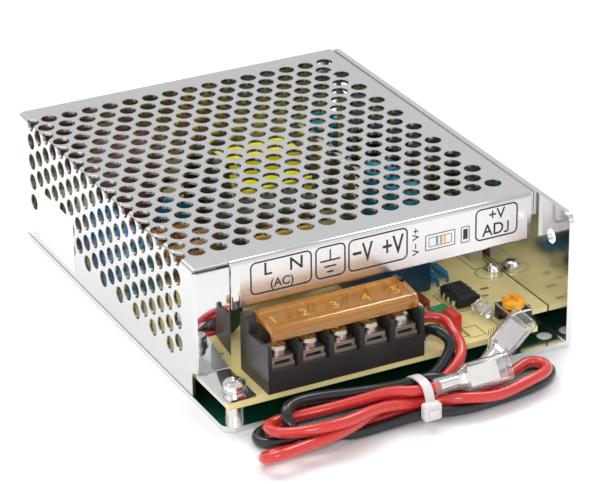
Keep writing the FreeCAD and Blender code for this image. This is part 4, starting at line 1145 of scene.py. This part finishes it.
@dataclass
class FlipCover(SubAssembly):
    """The clear flip cover: rolled lip, hinge ridge, ears, pins and raised digits."""

    left: float = 14.35
    right: float = 53.75
    tab_right: float = 54.95
    tab_back: float = 10.5
    front: float = 2.9
    lip_bottom: float = CASE.board_top + 12.6
    under: float = CASE.board_top + 15.1
    top: float = CASE.board_top + 16.1
    lip_r: float = 1.6
    lip_drop: float = 1.85
    lip_steps: int = 8
    lip_angles: Pair = (180.0, 95.0)
    lip_wall: float = 1.1
    lip_inner_r: float = 0.6
    lip_inner_y: float = 1.7
    lip_inner_drop: float = 1.0
    lip_inner_steps: int = 5
    inner_front: Pair = (1.8, -0.35)
    inner_back: Pair = (-1.0, 0.2)
    ridge_foot: Pair = (-2.4, 0.2)
    ridge_centre: Pair = (-0.4, -0.25)
    ridge_r: float = 0.95
    ridge_angles: Pair = (120.0, 60.0)
    ridge_steps: int = 5
    back_edge: float = 1.55
    axis_y: float = 13.1
    axis_z: float = 22.7
    edge_round: float = 0.2
    ear_width: float = 1.1
    ear_top: float = CASE.board_top + 15.6
    ear_foot: Pair = (-1.5, 1.3)
    ear_shoulder: Pair = (1.1, -0.9)
    ear_tip: float = -1.25
    ear_round: float = 0.12
    pin_r: float = 0.8
    pin_round: float = 0.1
    pin_sides: int = 24
    left_pin: Pair = (-1.6, 0.2)
    right_pin: Pair = (-0.2, 1.0)
    digits: str = "12345"
    digit_height: float = 3.2
    digit_depth: float = 0.35
    digit_x: float = 16.9
    digit_pitch: float = 8.5
    digit_y: float = 7.4
    digit_z: float = CASE.board_top + 16.0
    digit_slope: float = math.atan2(0.55, 8.0)

    def section(self) -> list[Pair]:
        """Returns: the cover's section across X: over the lip, ridge and edge, and back inside."""
        front = self.front
        axis = self.axis_y
        top = self.top
        outer = [(front, self.lip_bottom)]
        outer += arc(front + self.lip_r, top - self.lip_drop, self.lip_r, *self.lip_angles,
                     self.lip_steps)
        outer += [(axis + self.ridge_foot[0], top + self.ridge_foot[1])]
        outer += arc(axis + self.ridge_centre[0], top + self.ridge_centre[1], self.ridge_r,
                     *self.ridge_angles, self.ridge_steps)
        outer += [(axis + self.back_edge, top)]
        inner = [(axis + self.back_edge, self.under),
                 (axis + self.inner_back[0], self.under + self.inner_back[1]),
                 (front + self.inner_front[0], self.under + self.inner_front[1])]
        inner += arc(front + self.lip_inner_y, self.under - self.lip_inner_drop,
                     self.lip_inner_r, *self.lip_angles[::-1], self.lip_inner_steps)
        return outer + inner + [(front + self.lip_wall, self.lip_bottom)]

    def ear(self) -> list[Pair]:
        """Returns: an ear's section across X, round the hinge line."""
        axis = self.axis_y
        level = self.axis_z
        out, down = self.ear_shoulder
        return [(axis + self.ear_foot[0], self.ear_top), (axis - out, level + down),
                (axis, level + self.ear_tip), (axis + out, level + down),
                (axis + self.ear_foot[1], self.ear_top)]

    def shell(self) -> bpy.types.Object:
        """Returns: the cover itself."""
        bm = bmesh.new()
        section = self.section()
        tab = [(min(y, self.tab_back), z) for y, z in section]
        pin = round_outline(self.axis_y, self.axis_z, self.pin_r, self.pin_sides)
        add_prism(bm, section, along_x, self.left, self.right, self.edge_round, 3)
        add_prism(bm, tab, along_x, self.right, self.tab_right, self.edge_round, 3)
        for x in (self.left, self.right - self.ear_width):
            add_prism(bm, self.ear(), along_x, x, x + self.ear_width, self.ear_round)
        for side, (start, end) in ((self.left, self.left_pin), (self.right, self.right_pin)):
            add_prism(bm, pin, along_x, side + start, side + end, self.pin_round)
        return finish_piece("flap_shell", bm, "flap_plastic", "flip_cover", ["terminal_flap"])

    def raised_digits(self) -> bpy.types.Object:
        """Returns: the digits on top of the cover, in a lighter finish that paints their highlight."""
        bm = bmesh.new()
        slope = Matrix.Rotation(self.digit_slope, 4, "X")
        for place, digit in enumerate(self.digits):
            spot = mm(self.digit_x + self.digit_pitch * place, self.digit_y, self.digit_z)
            add_text(bm, digit, self.digit_height, self.digit_depth,
                     Matrix.Translation(spot) @ slope)
        return finish_piece("flap_digits", bm, "flap_digit_highlight", "flip_cover")

    def build(self) -> list[bpy.types.Object]:
        """Returns: the cover and its digits."""
        return [self.shell(), self.raised_digits()]


# Print on the front film


@dataclass
class FilmPrint(SubAssembly):
    """The generic marks on the front film."""

    front: float = 16.27
    back: float = 16.31
    ink_depth: float = 0.04
    frame_z: Pair = (26.8, 35.7)
    frame_line: float = 0.42
    frame_corner: float = 1.6
    frames_x: tuple[Pair, ...] = ((15.2, 32.2), (33.1, 41.6), (42.3, 59.2), (78.7, 91.2))
    captions: tuple[Caption, ...] = (
        Caption("L", 3.4, 20.0, 33.1), Caption("N", 3.4, 27.9, 32.9, 1.1),
        Caption("(AC)", 2.3, 23.9, 28.9), Caption("−V", 5.2, 46.3, 31.2, 0.66),
        Caption("+V", 5.2, 54.9, 31.2, 0.70), Caption("+V", 3.0, 85.0, 33.3, 0.95),
        Caption("AD", 3.2, 84.0, 29.2, 0.98), Caption("V− V+", 1.9, 61.6, 30.9, 1.05, QUARTER))
    hook_x: float = 88.6
    hook_z: float = 28.42
    hook_top: float = 30.8
    hook_r: float = 0.82
    hook_line: float = 0.46
    earth_stem: tuple[Pair, Pair] = ((37.1, 31.7), (37.5, 34.5))
    earth_bars: tuple[Triple, ...] = ((34.5, 40.1, 31.3), (35.6, 38.9, 29.7), (36.4, 38.2, 28.2))
    earth_line: float = 0.45
    jumper_fill: tuple[Pair, Pair] = ((75.2, 28.4), (76.5, 31.2))
    grey_frames: tuple[tuple[Pair, Pair, float, float], ...] = (
        ((64.2, 72.9), (27.6, 32.0), 0.26, 0.3), ((65.2, 71.9), (28.5, 31.1), 0.18, 0.2),
        ((74.5, 77.1), (27.4, 32.0), 0.26, 0.3))
    bar_z: Pair = (28.8, 30.9)
    bar_width: float = 0.6
    bars: tuple[tuple[str, float], ...] = (("teal", 67.3), ("orange", 68.5), ("yellow", 69.6))

    def add_frame(self, bm: bmesh.types.BMesh, xs: Pair, zs: Pair, line: float,
                  corner: float) -> None:
        """Add a printed outline with round corners.

        Args:
            bm: the mesh.
            xs, zs: its sides.
            line: the line's width.
            corner: its corners' radius.
        """
        rings = []
        for inset in (0.0, line):
            outline = rounded_rectangle(*xs, *zs, corner, inset)
            rings += add_loop(bm, [mm(x, self.front, z) for x, z in outline])
        faces = bmesh.ops.bridge_loops(bm, edges=rings)["faces"]
        made = bmesh.ops.extrude_face_region(bm, geom=faces)["geom"]
        rear = [item for item in made if isinstance(item, bmesh.types.BMVert)]
        bmesh.ops.translate(bm, vec=(0.0, (self.back - self.front) * MM, 0.0), verts=rear)

    def add_mark(self, bm: bmesh.types.BMesh, low: Pair, high: Pair) -> None:
        """Add a filled printed rectangle between two corners of the film."""
        add_block(bm, mm(low[0], self.front, low[1]), mm(high[0], self.back, high[1]))

    def add_hook(self, bm: bmesh.types.BMesh) -> None:
        """Add the hooked letter of ADJ, which the font draws without its hook."""
        x = self.hook_x
        centre = x - self.hook_r
        outline = [(x, self.hook_top)]
        outline += arc(centre, self.hook_z, self.hook_r, 0, -150)
        outline += arc(centre, self.hook_z, self.hook_r - self.hook_line, -150, 0)
        outline += [(x - self.hook_line, self.hook_top)]
        add_prism(bm, outline, along_y, self.back, self.front)

    def black_print(self) -> bpy.types.Object:
        """Returns: the black frames, letters and signs."""
        ink = bmesh.new()
        for sides in self.frames_x:
            self.add_frame(ink, sides, self.frame_z, self.frame_line, self.frame_corner)
        for caption in self.captions:
            spot = Matrix.Translation(mm(caption.x, self.front, caption.z))
            facing = Matrix.Rotation(QUARTER, 4, "X") @ Matrix.Rotation(caption.turn, 4, "Z")
            add_text(ink, caption.text, caption.height, self.ink_depth, spot @ facing,
                     caption.squeeze)
        self.add_hook(ink)
        self.add_mark(ink, *self.earth_stem)
        for x0, x1, z in self.earth_bars:
            self.add_mark(ink, (x0, z), (x1, z + self.earth_line))
        self.add_mark(ink, *self.jumper_fill)
        return finish_piece("film_print", ink, "print_ink", smooth=False)

    def grey_print(self) -> bpy.types.Object:
        """Returns: the fine grey outlines of the resistor and the jumper."""
        grey = bmesh.new()
        for frame in self.grey_frames:
            self.add_frame(grey, *frame)
        return finish_piece("film_print_grey", grey, "print_grey", smooth=False)

    def color_bar(self, name: str, x: float) -> bpy.types.Object:
        """Print one of the resistor's coloured bars.

        Args:
            name: its colour.
            x: its left side.

        Returns:
            The bar.
        """
        bar = bmesh.new()
        self.add_mark(bar, (x, self.bar_z[0]), (x + self.bar_width, self.bar_z[1]))
        return finish_piece("film_bar_" + name, bar, "print_" + name, smooth=False)

    def build(self) -> list[bpy.types.Object]:
        """Returns: the black print, the grey print and the bars."""
        pieces = [self.black_print(), self.grey_print()]
        return pieces + [self.color_bar(name, x) for name, x in self.bars]


# Board details


@dataclass
class BoardPrint(SubAssembly):
    """The dark printed lines round the parts near the board's front edge."""

    low: float = CASE.board_top + 0.004
    high: float = CASE.board_top + 0.02
    line: float = 0.22
    outlines: tuple[tuple[float, float, float, float], ...] = (
        (73.2, 16.6, 82.6, 28.0), (79.6, 1.2, 89.4, 12.0), (70.0, 3.0, 74.5, 8.4),
        (90.2, 36.0, 95.4, 60.0), (66.2, 4.2, 70.4, 15.6))
    ring: Triple = (92.6, 32.4, 3.6)
    ring_sides: int = 28
    ring_line: float = 0.2
    hatches: int = 5
    hatch_start: Pair = (74.2, 1.6)
    hatch_step: Pair = (0.9, 0.2)
    hatch_reach: Pair = (2.0, 3.0)
    hatch_line: float = 0.18
    words: tuple[tuple[float, float, int], ...] = (
        (79.4, 31.0, 4), (81.0, 29.2, 4), (82.6, 27.4, 3), (88.6, 17.6, 5),
        (84.4, 21.0, 3), (86.0, 24.6, 4), (84.6, 13.2, 3), (90.4, 10.8, 4))
    letter_pitch: float = 0.62
    letter_height: float = 1.1
    letter_line: float = 0.34
    letter_bar: Pair = (0.4, 0.5)
    letter_bar_line: float = 0.2
    dashes: int = 4
    dash_start: Pair = (2.0, 10.4)
    dash_length: float = 1.4
    dash_pitch: float = 2.4
    dash_line: float = 0.4

    def add_line(self, bm: bmesh.types.BMesh, start: Pair, end: Pair, width: float) -> None:
        """Add one printed line.

        Args:
            bm: the mesh.
            start, end: its ends on the board.
            width: its width.
        """
        along = Vector(end) - Vector(start)
        middle = (Vector(start) + Vector(end)) / 2.0
        frame = Matrix.Translation(mm(middle.x, middle.y, (self.low + self.high) / 2.0))
        frame = frame @ Matrix.Rotation(math.atan2(along.y, along.x), 4, "Z")
        size = (along.length * MM, width * MM, (self.high - self.low) * MM, 1.0)
        bmesh.ops.create_cube(bm, size=1.0, matrix=frame @ Matrix.Diagonal(size))

    def add_path(self, bm: bmesh.types.BMesh, path: Sequence[Pair], width: float) -> None:
        """Add a printed line from point to point."""
        for start, end in zip(path[:-1], path[1:]):
            self.add_line(bm, start, end, width)

    def add_word(self, bm: bmesh.types.BMesh, x: float, y: float, letters: int) -> None:
        """Add the strokes that stand for a printed word.

        Args:
            bm: the mesh.
            x, y: where it starts.
            letters: how many strokes it has.
        """
        length, rise = self.letter_bar
        for _ in range(letters):
            self.add_line(bm, (x, y), (x, y + self.letter_height), self.letter_line)
            self.add_line(bm, (x, y + rise), (x + length, y + rise), self.letter_bar_line)
            x += self.letter_pitch

    def build(self) -> list[bpy.types.Object]:
        """Returns: all the board's printed lines as one piece."""
        bm = bmesh.new()
        for x0, y0, x1, y1 in self.outlines:
            self.add_path(bm, [(x0, y0), (x1, y0), (x1, y1), (x0, y1), (x0, y0)], self.line)
        self.add_path(bm, arc(*self.ring, 0.0, 360.0, self.ring_sides), self.ring_line)
        for k in range(self.hatches):
            start = Vector(self.hatch_start) + Vector(self.hatch_step) * k
            self.add_line(bm, start, start + Vector(self.hatch_reach), self.hatch_line)
        for x, y, letters in self.words:
            self.add_word(bm, x, y, letters)
        for k in range(self.dashes):
            x = self.dash_start[0] + self.dash_pitch * k
            y = self.dash_start[1]
            self.add_line(bm, (x, y), (x + self.dash_length, y), self.dash_line)
        return [finish_piece("board_lines", bm, "print_ink", smooth=False)]


@dataclass
class RelayCase(SubAssembly):
    """The output relay's moulded case."""

    edge_round: float = 0.6

    def build(self) -> list[bpy.types.Object]:
        """Returns: the case."""
        bm = bmesh.new()
        add_block(bm, *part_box("output_relay"), self.edge_round, 3)
        return [finish_piece("relay_shell", bm, "relay_case", replaces=["output_relay"])]


@dataclass
class ChipCase(SubAssembly):
    """The controller's moulded case with drafted sides and a round mark."""

    draft: float = 0.7
    foot: float = 1.0
    mark_r: float = 0.8
    mark_y: float = 1.8
    mark_low: float = 0.2
    mark_depth: float = 0.22
    mark_round: float = 0.05

    def build(self) -> list[bpy.types.Object]:
        """Returns: the case."""
        low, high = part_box("control_chip")
        bm = bmesh.new()
        add_block(bm, low, high)
        rim = [edge for edge in bm.edges
               if all(vert.co.z > low.z + self.foot * MM for vert in edge.verts)]
        round_edges(bm, rim, self.draft, 1)
        level = high.z + (self.mark_depth / 2.0 - self.mark_low) * MM
        spot = Vector(((low.x + high.x) / 2.0, low.y + self.mark_y * MM, level))
        add_disc(bm, Matrix.Translation(spot), self.mark_r, self.mark_depth, self.mark_round)
        return [finish_piece("chip_shell", bm, "chip_case", replaces=["control_chip"])]


@dataclass
class TrimmerRim(SubAssembly):
    """The pale metal plate on the adjuster's frame, with a gap round the knob's seat."""

    thickness: float = 0.4
    lap: float = 0.02

    def build(self) -> list[bpy.types.Object]:
        """Returns: the plate."""
        low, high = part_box("trimmer_body")
        side = self.thickness * MM
        lap = self.lap * MM
        bm = bmesh.new()
        for x0, x1, y0, y1 in ((low.x, low.x + side, low.y, high.y),
                               (high.x - side, high.x, low.y, high.y),
                               (low.x, high.x, low.y, low.y + side),
                               (low.x, high.x, high.y - side, high.y)):
            add_block(bm, Vector((x0 - lap, y0 - lap, high.z - side + lap)),
                      Vector((x1 + lap, y1 + lap, high.z + lap)))
        return [finish_piece("trimmer_rim", bm, "pin_metal", smooth=False)]


@dataclass
class CoreTape(SubAssembly):
    """The strip of tape over the main transformer's core and down its two long faces."""

    thickness: float = 0.18
    margin: float = 3.0
    overlap: float = 1.0

    def build(self) -> list[bpy.types.Object]:
        """Returns: the strip."""
        low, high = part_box("transformer_core")
        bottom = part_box("transformer_winding")[1].z - self.overlap * MM
        tape = self.thickness * MM
        x0 = low.x + self.margin * MM
        x1 = high.x - self.margin * MM
        bm = bmesh.new()
        for y0, y1, z0, z1 in ((low.y - tape, high.y + tape, high.z, high.z + tape),
                               (low.y - tape, low.y, bottom, high.z),
                               (high.y, high.y + tape, bottom, high.z)):
            add_block(bm, Vector((x0, y0, z0)), Vector((x1, y1, z1)))
        return [finish_piece("core_tape", bm, "yellow_tape")]


@dataclass
class WoundRing(SubAssembly):
    """A ring core wound with separate turns of wire."""

    name: str
    node: str
    finish: str = "copper_wire"
    sides: int = 12
    turns: int = 42
    steps_a_turn: int = 4
    fill: float = 0.965
    ripple: float = 0.03

    def build(self) -> list[bpy.types.Object]:
        """Returns: the wound ring."""
        low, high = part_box(self.node)
        centre = (low + high) / 2.0
        half = (high.z - low.z) / 2.0
        middle = (high.x - low.x) / 2.0 - half
        bm = bmesh.new()
        section = Matrix.Translation((middle, 0.0, 0.0)) @ Matrix.Rotation(QUARTER, 4, "X")
        bmesh.ops.create_circle(bm, segments=self.sides, radius=half, matrix=section)
        bmesh.ops.spin(bm, geom=[*bm.verts, *bm.edges], cent=(0.0, 0.0, 0.0),
                       axis=(0.0, 0.0, 1.0), angle=math.tau, steps=self.turns * self.steps_a_turn,
                       use_merge=True)
        for vert in bm.verts:
            around = math.atan2(vert.co.y, vert.co.x)
            core = Vector((math.cos(around), math.sin(around), 0.0)) * middle
            swell = self.fill + self.ripple * math.cos(around * self.turns)
            vert.co = centre + core + (vert.co - core) * swell
        return [finish_piece(self.name, bm, self.finish, replaces=[self.node])]


# Leads


@dataclass
class LeadTie(SubAssembly):
    """The tie: a thin ribbed band round the strands and its small rounded head."""

    x: float = 46.2
    half_width: float = 1.2
    ribs: Pair = (0.44, 0.52)
    path_steps: int = 8
    band: tuple[Pair, ...] = (
        (-18.95, 4.4), (-18.8, 2.6), (-17.9, 0.75), (-16.2, 0.35), (-10.0, 0.35), (-8.3, 1.3),
        (-7.2, 3.6), (-7.4, 5.6), (-8.9, 8.3), (-11.2, 9.6), (-15.6, 9.9), (-17.6, 8.4))
    head_low: Triple = (-2.9, -21.4, 2.2)
    head_high: Triple = (1.9, -18.7, 6.7)
    head_round: float = 0.7
    latch_low: Triple = (-2.0, -21.9, 3.6)
    latch_high: Triple = (1.0, -21.2, 5.4)
    latch_round: float = 0.2

    def path(self) -> list[Vector]:
        """Returns: points along the band's smooth closed line."""
        curve = smooth_line("tie_path", [mm(self.x, y, z) for y, z in self.band], closed=True)
        curve.resolution_u = self.path_steps
        holder = bpy.data.objects.new("tie_path", curve)
        bpy.context.scene.collection.objects.link(holder)
        mesh = bpy.data.meshes.new_from_object(holder)
        points = [vert.co.copy() for vert in mesh.vertices]
        bpy.data.objects.remove(holder)
        return points

    def add_band(self, bm: bmesh.types.BMesh) -> None:
        """Add the band with its fine ribs.

        Args:
            bm: the tie's mesh.
        """
        path = self.path()
        middle = sum(path, Vector()) / len(path)
        side = Vector((self.half_width * MM, 0.0, 0.0))
        sections = []
        for k, point in enumerate(path):
            ahead = (path[(k + 1) % len(path)] - path[k - 1]).normalized()
            out = ahead.cross(Vector((1.0, 0.0, 0.0))).normalized()
            if out.dot(point - middle) < 0.0:
                out = -out
            rise = out * self.ribs[k % 2] * MM
            sections.append((point - side, point - side + rise, point + side + rise,
                             point + side))
        loft(bm, sections)

    def add_head(self, bm: bmesh.types.BMesh, low: Triple, high: Triple, rounding: float,
                 segments: int) -> None:
        """Add one rounded block of the head, its corners given from the tie's middle."""
        (x0, y0, z0), (x1, y1, z1) = low, high
        add_block(bm, mm(self.x + x0, y0, z0), mm(self.x + x1, y1, z1), rounding, segments)

    def build(self) -> list[bpy.types.Object]:
        """Returns: the tie."""
        bm = bmesh.new()
        self.add_band(bm)
        self.add_head(bm, self.head_low, self.head_high, self.head_round, 3)
        self.add_head(bm, self.latch_low, self.latch_high, self.latch_round, 2)
        return [finish_piece("tie_band", bm, "tie_nylon", replaces=["lead_tie"])]


@dataclass
class Lead(SubAssembly):
    """One battery lead and the clear sleeve on its spade terminal."""

    name: str
    node: str
    finish: str
    route: Sequence[Triple]
    length: float
    lean: Triple
    wall: float = 0.45
    corner_share: float = 0.75
    wire_facets: int = 6
    wire_steps: int = 10
    stations: tuple[Triple, ...] = ((-1.8, 2.1, 1.95), (4.4, 2.2, 1.98), (5.6, 2.45, 2.0),
                                    (7.4, 3.45, 2.0), (8.4, 3.6, 2.0), (19.2, 3.6, 2.0))

    def wire(self) -> bpy.types.Object:
        """Returns: the lead as a smooth spline with a round section."""
        curve = smooth_line(self.name, [mm(*point) for point in self.route])
        curve.bevel_depth = LEAD_D / 2.0 * MM
        curve.bevel_resolution = self.wire_facets
        curve.resolution_u = self.wire_steps
        curve.use_fill_caps = True
        curve.materials.append(material(self.finish))
        piece = bpy.data.objects.new(self.name, curve)
        bpy.context.scene.collection.objects.link(piece)
        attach(piece, "case")
        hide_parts(self.node)
        return piece

    def end_frame(self) -> Matrix:
        """Returns: the frame of the free end, with X along the lead and Y along its lean."""
        end = mm(*self.route[-1])
        along = (end - mm(*self.route[-2])).normalized()
        lean = Vector(self.lean)
        across = (lean - along * along.dot(lean)).normalized()
        axes = Matrix((along, across, along.cross(across))).transposed().to_4x4()
        return Matrix.Translation(end) @ axes

    def section(self, station: float, half_width: float, half_height: float) -> list[Vector]:
        """Draw the sleeve's rounded section at one station.

        Args:
            station: how far along the end's frame.
            half_width, half_height: its half sizes.

        Returns:
            Its points in metres.
        """
        outline = rounded_rectangle(-half_width, half_width, -half_height, half_height,
                                    half_height * self.corner_share)
        frame = self.end_frame()
        return [frame @ (Vector((station, y, z)) * MM) for y, z in outline]

    def sleeve(self) -> bpy.types.Object:
        """Returns: the clear sleeve, a closed wall open at both ends."""
        bm = bmesh.new()
        outer = [(s, width, height) for s, width, height in self.stations]
        inner = [(s, width - self.wall, height - self.wall) for s, width, height in outer]
        loft(bm, [self.section(*sizes) for sizes in outer + inner[::-1]])
        return finish_piece(self.name + "_sleeve", bm, "sleeve_vinyl", replaces=["lead_sleeves"])

    def declare(self, piece: bpy.types.Object, carried: list[Any]) -> None:
        tuple(mm(*self.route[0]))


@dataclass
class RedLead(Lead):
    """The red lead, whose build also makes the tie."""

    name: str = "red_wire"
    node: str = "red_lead"
    finish: str = "red_insulation"
    route: Sequence[Triple] = tuple(RED_ROUTE)
    length: float = 0.311
    lean: Triple = (0.0, -0.515, -0.857)

    def build(self) -> list[bpy.types.Object]:
        """Returns: the lead, its sleeve and the tie."""
        pieces = [self.wire(), self.sleeve(), *LeadTie().build()]
        self.declare(pieces[0], [*pieces[1:], "spade_terminals"])
        return pieces


@dataclass
class BlackLead(Lead):
    """The black lead."""

    name: str = "black_wire"
    node: str = "black_lead"
    finish: str = "black_insulation"
    route: Sequence[Triple] = tuple(BLACK_ROUTE)
    length: float = 0.300
    lean: Triple = (0.57, -0.63, -0.52)

    def build(self) -> list[bpy.types.Object]:
        """Returns: the lead and its sleeve."""
        pieces = [self.wire(), self.sleeve()]
        self.declare(pieces[0], pieces[1:])
        return pieces


# Stage


@dataclass(frozen=True)
class Softbox:
    """One rectangular light, aimed at a point. Places and sizes are in metres."""

    name: str
    place: Triple
    target: Triple
    size: Pair
    power: float

    def build(self) -> None:
        """Place the light."""
        light = bpy.data.lights.new(self.name, "AREA")
        light.shape = "RECTANGLE"
        light.size, light.size_y = self.size
        light.energy = self.power
        holder = bpy.data.objects.new(self.name, light)
        holder.location = self.place
        aim = Vector(self.target) - Vector(self.place)
        holder.rotation_euler = aim.to_track_quat("-Z", "Y").to_euler()
        bpy.context.scene.collection.objects.link(holder)


@dataclass
class Studio:
    """The floor, the lights and the world. Sizes are in metres."""

    floor_size: float = 6.0
    floor_drop: float = 0.0001
    world_strength: float = 0.69
    softboxes: tuple[Softbox, ...] = (
        Softbox("overhead", (-0.12, 0.35, 0.60), (0.0, 0.0, 0.0), (0.4, 0.4), 2.2),
        Softbox("left_panel", (-0.75, -0.15, 0.35), (0.0, 0.0, 0.02), (0.7, 0.5), 0.8),
        Softbox("front_panel", (0.25, -0.75, 0.35), (0.0, -0.05, 0.01), (0.6, 0.4), 0.3),
        Softbox("right_strip", (0.30, 0.15, 0.55), (0.0, 0.0, 0.0), (0.25, 0.25), 1.2),
        Softbox("behind_camera", (-0.36, -0.72, 0.44), (0.0, 0.0, 0.02), (0.3, 0.3), 2.0))

    def add_floor(self) -> None:
        """Add the floor."""
        mesh = bpy.data.meshes.new("floor")
        bm = bmesh.new()
        bmesh.ops.create_grid(bm, x_segments=1, y_segments=1, size=self.floor_size)
        bm.to_mesh(mesh)
        bm.free()
        mesh.materials.append(material("floor_paper"))
        floor = bpy.data.objects.new("floor", mesh)
        floor.location.z = -self.floor_drop
        bpy.context.scene.collection.objects.link(floor)

    def build(self) -> None:
        """Build the whole studio."""
        self.add_floor()
        for softbox in self.softboxes:
            softbox.build()
        world = bpy.data.worlds.new("studio")
        world.use_nodes = True
        background = world.node_tree.nodes["Background"]
        background.inputs["Color"].default_value = (1.0, 1.0, 1.0, 1.0)
        background.inputs["Strength"].default_value = self.world_strength
        bpy.context.scene.world = world
        bpy.context.scene.view_settings.view_transform = "Standard"


@dataclass
class PhotoCamera:
    """The camera where the photograph was taken from. Its place is in metres."""

    place: Triple = (-0.30685, -0.6153, 0.3451)
    aim: Triple = (0.4076, 0.8027, -0.4355)
    roll: float = math.radians(-0.73)
    focal_pixels: float = 2879.2
    picture_pixels: float = 611.0
    sensor: float = 36.0
    shift: Pair = (-0.0023, 0.0033)
    near: float = 0.01

    def build(self) -> None:
        """Place the camera."""
        forward = Vector(self.aim).normalized()
        level = forward.cross(Vector((0.0, 0.0, 1.0))).normalized()
        steep = level.cross(forward)
        right = level * math.cos(self.roll) + steep * math.sin(self.roll)
        up = steep * math.cos(self.roll) - level * math.sin(self.roll)
        camera = bpy.data.cameras.new("camera")
        camera.sensor_width = self.sensor
        camera.lens = self.focal_pixels / self.picture_pixels * self.sensor
        camera.shift_x, camera.shift_y = self.shift
        camera.clip_start = self.near
        holder = bpy.data.objects.new("camera", camera)
        axes = Matrix((right, up, -forward)).transposed().to_4x4()
        holder.matrix_world = Matrix.Translation(self.place) @ axes
        bpy.context.scene.collection.objects.link(holder)
        bpy.context.scene.camera = holder


def main() -> None:
    """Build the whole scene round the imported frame."""
    logging.basicConfig(level=logging.INFO)
    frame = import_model()
    dress_cad_nodes(frame)
    PhotoCamera().build()
    Studio().build()
    parts = (RedLead(), BlackLead(), Cover(), FlipCover(), FilmPrint(), BoardPrint(),
             RelayCase(), ChipCase(), TrimmerRim(), CoreTape(),
             WoundRing("input_ring_wound", "input_ring_choke"),
             WoundRing("output_ring_wound", "output_ring_choke"))
    for part in parts:
        for piece in part.build():
            LOG.info("%s built by %s", piece.name, type(part).__name__)


if __name__ == "__main__":
    main()
